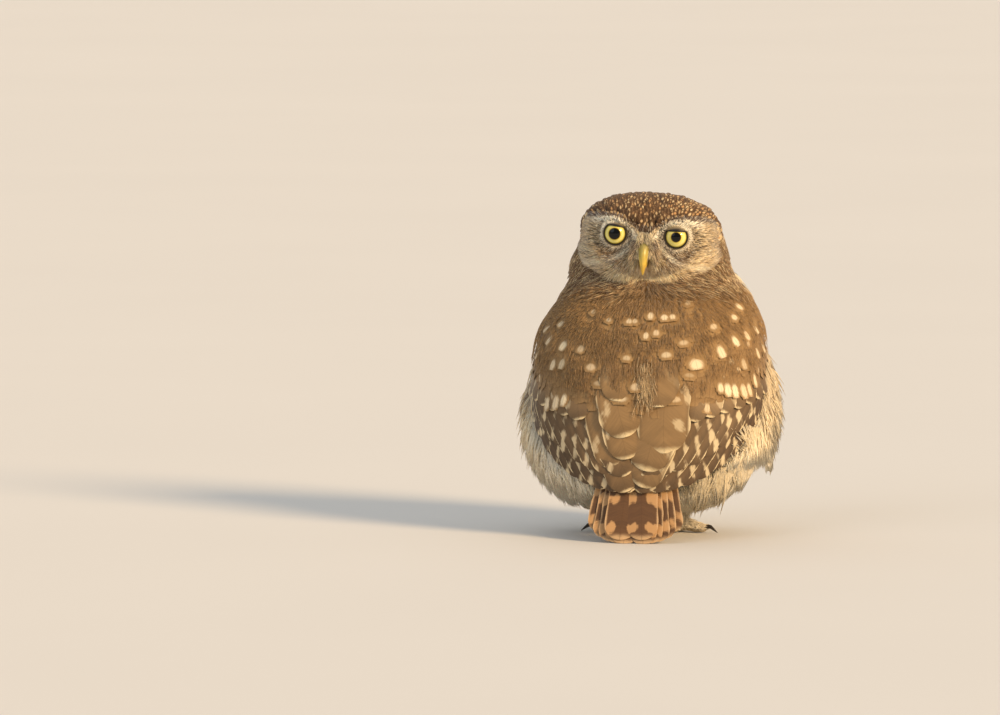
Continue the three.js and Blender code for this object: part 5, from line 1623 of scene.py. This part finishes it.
def headPiece(name, points, faces, uvName, uv, finish, nodes=()):  # closed, with its faces turned outwards
    obj = meshObject(name, placed(headPlaced(points)), faces)
    work = bmesh.new()
    work.from_mesh(obj.data)
    bmesh.ops.recalc_face_normals(work, faces=work.faces)
    work.to_mesh(obj.data)
    work.free()
    setCorners(obj.data, uvName, uv)
    obj.data.materials.append(finish)
    keepPiece(obj, nodes)


# The lid's section: how far it stands over the eyeball and its share of the way from the rim outwards, with
# the same share as its colour reads it
lidRows = ((0.1, 0.0, 0), (0.35, -0.01, 0.05), (0.6, 0.04, 0.12), (0.72, 0.12, 0.28), (0.7, 0.25, 0.42), (0.6, 0.45, 0.6),
           (0.4, 0.7, 0.8), (0.1, 1.0, 1), (-0.3, 0.95, 1), (-0.3, 0.1, 0.1))


def makeEyes():
    theta = np.linspace(0, 2 * pi, 72, endpoint=False)
    c, v, n, lidFinish = np.cos(theta), np.sin(theta), len(theta), lidMaterial()
    radius, cornea, corneaRadius = headShape["eyeballRadius"], eyeLook["cornea"], eyeLook["corneaRadius"]
    for side, word in ((1, "right"), (-1, "left")):
        gaze, level, upright = eyeAxes(side)
        middle, radial, rings, flat = eyeLocal[side], np.outer(c, level) + np.outer(v, upright), [], []
        for a in np.r_[np.linspace(0.004, 0.9, 30), np.linspace(0.98, pi - 0.02, 22)]:
            r, ahead = radius * math.sin(a), a < pi / 2
            out = radius * math.cos(a) + (cornea * max(1 - (r / corneaRadius) ** 2, 0) if ahead else 0)
            rings.append(middle + gaze * out + r * radial)
            share = r / 20 if ahead else (20 - r) / 40
            flat.append(vec(0.5 + share * c, 0.5 + share * v))
        headPiece("eyeball_" + word, np.concatenate(rings), ringFaces(len(rings), n), "iris", np.concatenate(flat),
                  eyeMaterial("eye_" + word, eyeLook["pupil"][side]), ("eye_" + word,))

        inner = np.arcsin(np.clip(lidEdge(side, theta) / (radius + 0.5), 0, 0.999))
        outer, rows = math.radians(eyeLook["lidWidth"]), []
        for lift, t, _ in lidRows:
            a = lerp(inner, outer, t)
            bulge = cornea * np.clip(1 - (radius * np.sin(a) / corneaRadius) ** 2, 0, 1) * (1 if lift > 0 else 0.3)
            out = radius + lift + bulge
            rows.append(middle + np.outer(np.cos(a) * out, gaze) + (np.sin(a) * out)[:, None] * radial)
        last = (len(rows) - 1) * n
        faces = ringFaces(len(rows), n, closedEnds=False)
        faces += [(last + j, last + (j + 1) % n, (j + 1) % n, j) for j in range(n)]
        uv = vec(np.tile(theta / (2 * pi), len(rows)), np.repeat([share for _, _, share in lidRows], n))
        headPiece("eyelid_" + word, np.concatenate(rows), faces, "lid", uv, lidFinish)


makeEyes()


# Bill: two lofts along rows of place back and up, half width and half height; the upper half's ridge is sharper
billLook = {
    "upper": np.array([
        (0, 5, -1.2, 3.0, 3.4), (1, -1.5, -2.6, 3.15, 3.6), (2, -5, -5.2, 2.95, 3.3), (3, -6.8, -9, 2.6, 2.8),
        (4, -6.8, -13, 1.85, 2.0), (5, -5.9, -16.6, 1.0, 1.05), (6, -5.1, -19.0, 0.22, 0.22)], float),
    "lower": np.array([
        (0, 6, -8.8, 2.9, 1.8), (1, -1, -10.6, 2.8, 1.8), (2, -3.4, -13.6, 2.0, 1.2), (3, -4, -16.0, 0.5, 0.35)], float),
    "nostril": np.array([2.6, -4.4, -3.2]), "nostrilRadius": 0.7, "mound": 0.5,
}


# Horn: hard and close-grained, greenish yellow, paler towards the tip, dull from wear
def billMaterial():
    finish = Finish("billHorn")
    where = finish.where()
    grain = where.vector("MULTIPLY", (1500.0, 600.0, 260.0)).noise(1.0, 4.0, 0.6)
    shade = grain.around((0.85, 1.12)) * where.noise(260.0, 2.0).around((0.85, 1.15))
    base = finish.flat("horn").split()[1].ramp(
        (0.0, "#6f6647"), (0.28, "#9a8f4c"), (0.5, "#c9b04a"), (0.8, "#e2b944"), (1.0, "#e0c060"))
    return finish.done(base.times(shade), 0.38, (grain, 0.35, 0.1 * mm), **{
        "IOR": 1.54, "Coat Weight": 0.15, "Coat Roughness": 0.3})


def makeBill():
    finish, theta = billMaterial(), np.linspace(0, 2 * pi, 40, endpoint=False)
    c, v, n = np.cos(theta), np.sin(theta), len(theta)
    ridge = np.where(v > 0, 1.75, 2.4)
    reach = (np.abs(c) ** ridge + np.abs(v) ** ridge) ** (-1 / ridge)
    for half, steps in (("upper", 56), ("lower", 26)):
        rows = billLook[half]
        s = np.linspace(0, rows[-1, 0], steps)
        y, z, wide, tall = (tableValue(rows, k, s) for k in (1, 2, 3, 4))
        centre = vec(0, y, z)[:, None]
        if half == "lower":
            bend = np.interp(s, [0, rows[-1, 0]], [0.35, 1.3])
            up = vec(0, -np.sin(bend), np.cos(bend))
        else:
            along = unit(np.gradient(centre[:, 0], axis=0))
            up = vec(0, -along[:, 2], along[:, 1])
            up = up * np.sign(-up[:, 1:2] + 1e-6)
        across, rise = wide[:, None] * (c * reach), tall[:, None] * (v * reach)
        points = centre + across[..., None] * (1.0, 0, 0) + rise[..., None] * up[:, None]
        if half == "upper":
            for side in (-1, 1):
                away = np.linalg.norm(points - billLook["nostril"] * (side, 1, 1), axis=-1)
                hollow = 1.5 * np.exp(-((away / billLook["nostrilRadius"]) ** 2))
                move = billLook["mound"] * np.exp(-((away / 2.2) ** 2)) - hollow
                points = points + unit(points - centre) * move[..., None]
        uv = vec(np.tile(theta / (2 * pi), steps), np.repeat(s / s[-1], n))
        headPiece("billHorn_" + half, points.reshape(-1, 3) + (0, -31, 0), ringFaces(steps, n), "horn", uv, finish,
                  ("bill_" + half,))


makeBill()


# Claws keep their solids: blackish horn, mottled with paler brown
def dressClaws():
    finish = Finish("clawHorn")
    grain = finish.where().noise(900.0, 4.0)
    horn = finish.done(grain.ramp((0.3, "#17130f"), (0.75, "#4a4038")), 0.35, (grain, 0.3, 0.1 * mm), IOR=1.54)
    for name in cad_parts:
        if name.startswith("claw_"):
            claw = bpy.data.objects[name]
            claw.data.materials.clear()
            claw.data.materials.append(horn)
            for slot in claw.material_slots:
                slot.material = horn


dressClaws()


# Short bristly feathers on legs and toes
toeCoat = {"length": 4.2, "width": 0.42, "perToe": 900, "perLeg": 2600}


def makeFeet():
    parts, legTable, toeTable = [], np.array(legRows), np.array(toeRows[:6])

    def bristles(at, lie, out, length, grey):
        tint = mix(hue["belly"], hue["downGrey"], draw.uniform(*grey, len(at)))
        parts.append((at, unit(lie), out, length, speckled(tint, 0.1)))

    for side in (-1, 1):
        foot, n = footAt(side), toeCoat["perLeg"]
        z, a = draw.uniform(4, 38, n), draw.uniform(-pi, pi, n)
        w, d, y = (np.interp(z, legTable[:, 0], legTable[:, k]) for k in (1, 2, 3))
        c, v = np.cos(a), np.sin(a)
        normal = unit(vec(c, v, 0.1))
        bristles(foot + vec(w * c, y + d * v, z) - normal * 0.5, vec(0.32 * c, 0.32 * v, -1), normal,
                 lerp(4.5, 9, smooth(z, 6, 34)) * jitter(n, 0.25), (0, 0.6))
        for heading, reach in toes:
            along, across = toeAxes(heading, side)
            n = toeCoat["perToe"]
            t, a = draw.uniform(-0.1, 0.94, n), draw.uniform(-0.3, pi + 0.3, n)
            r, z = (np.interp(t, toeTable[:, 0], toeTable[:, k])[:, None] for k in (1, 2))
            normal = np.outer(np.cos(a), across) + np.outer(np.sin(a), (0, 0, 1.0))
            bristles(foot + np.outer(reach * t, along) + normal * (r - 0.4) + z * (0, 0, 1.0),
                     along + normal * 0.16 + (0, 0, -0.05), normal,
                     toeCoat["length"] * lerp(1.1, 0.7, np.clip(t, 0, 1)) * jitter(n, 0.25), (0.1, 0.8))
    at, lie, out, length, tint = (np.concatenate(values) for values in zip(*parts))
    sites = {"at": at, "lie": lie, "out": out, "onHead": False, "length": length, "tint": tint,
             "width": toeCoat["width"] * jitter(len(at), 0.3)}
    sites = pick(sites, (at[:, 2] + lie[:, 2] * length > 0.3) & (at[:, 2] > 0.5))
    plant("toeBristles", "tuft", sites, downMaterial("toeBristle", 0.6, 1.1), 0.06, 0.2, 15)


makeFeet()


# Studio: pale floor that fills the view, a warm soft key from the right and a cool weak fill
studio = {
    "azimuth": 9.2, "elevation": 5.0, "distance": 6.0, "viewWidth": 0.57,
    "aim": (-85.5, 105.2),  # mm of the picture's centre to the right of and above the tail's tip
    "floor": "#e3e1dc",
    # Where each lamp stands to the right, behind and up, then its softness in degrees, power and colour
    "lamps": (
        ("warmKey", 2.2, 1.9, 1.35, 16, 3.7, "#ffdcae"), ("softFill", -2.2, 2.2, 1.8, 40, 0.45, "#e2e9f5"),
        ("softTop", 0.3, -0.4, 3.0, 90, 0.5, "#f4f3f0"), ("softBreast", -0.8, -2.6, 1.8, 80, 0.6, "#f4f0ea")),
}


def makeStudio():
    a, e = math.radians(studio["azimuth"]), math.radians(studio["elevation"])
    back = np.array([math.sin(a) * math.cos(e), -math.cos(a) * math.cos(e), math.sin(e)])
    right = np.array([math.cos(a), math.sin(a), 0.0])
    up = np.cross(back, right)
    focus = right * studio["aim"][0] + up * (np.array([0, -66, 0]) @ up + studio["aim"][1])
    where = placed(focus + back * studio["distance"] / mm)
    lens = bpy.data.cameras.new("studioCamera")
    lens.sensor_width, lens.lens, lens.clip_end = 36, 36 * studio["distance"] / studio["viewWidth"], 100
    camera = linked("studioCamera", lens)
    camera.matrix_world = Matrix([*np.c_[right, up, back, where].tolist(), (0, 0, 0, 1)])
    scene = bpy.context.scene
    scene.camera = camera

    floor = meshObject("studioFloor", [(-15, -15, 0), (15, -15, 0), (15, 15, 0), (-15, 15, 0)], [(0, 1, 2, 3)], False)
    finish = Finish("matFloor")
    tone = finish.where().noise(3.0, 2.0).ranged(0.0, 1.0, 0.98, 1.02)
    plain = finish.wire("VectorMath", 0, {0: rgba(studio["floor"])[:3], "Scale": tone}, operation="SCALE")
    floor.data.materials.append(finish.done(plain, 0.9))

    level = unit(np.array([back[0], back[1], 0]))
    for name, sideways, backwards, high, softness, power, tone in studio["lamps"]:
        lamp = bpy.data.lights.new(name, "SUN")
        lamp.angle, lamp.energy, lamp.color = math.radians(softness), power, tuple(colour(tone))
        way = right * sideways + level * backwards + (0, 0, high)
        linked(name, lamp).rotation_euler = Vector(way).to_track_quat("Z", "Y").to_euler()
    world = bpy.data.worlds.new("paleRoom")
    world.use_nodes = True
    air = world.node_tree.nodes["Background"].inputs
    air[0].default_value, air[1].default_value = rgba("#dfe1e4"), 0.38
    scene.world = world
    scene.view_settings.view_transform = "Standard"


makeStudio()
print("studio ready")
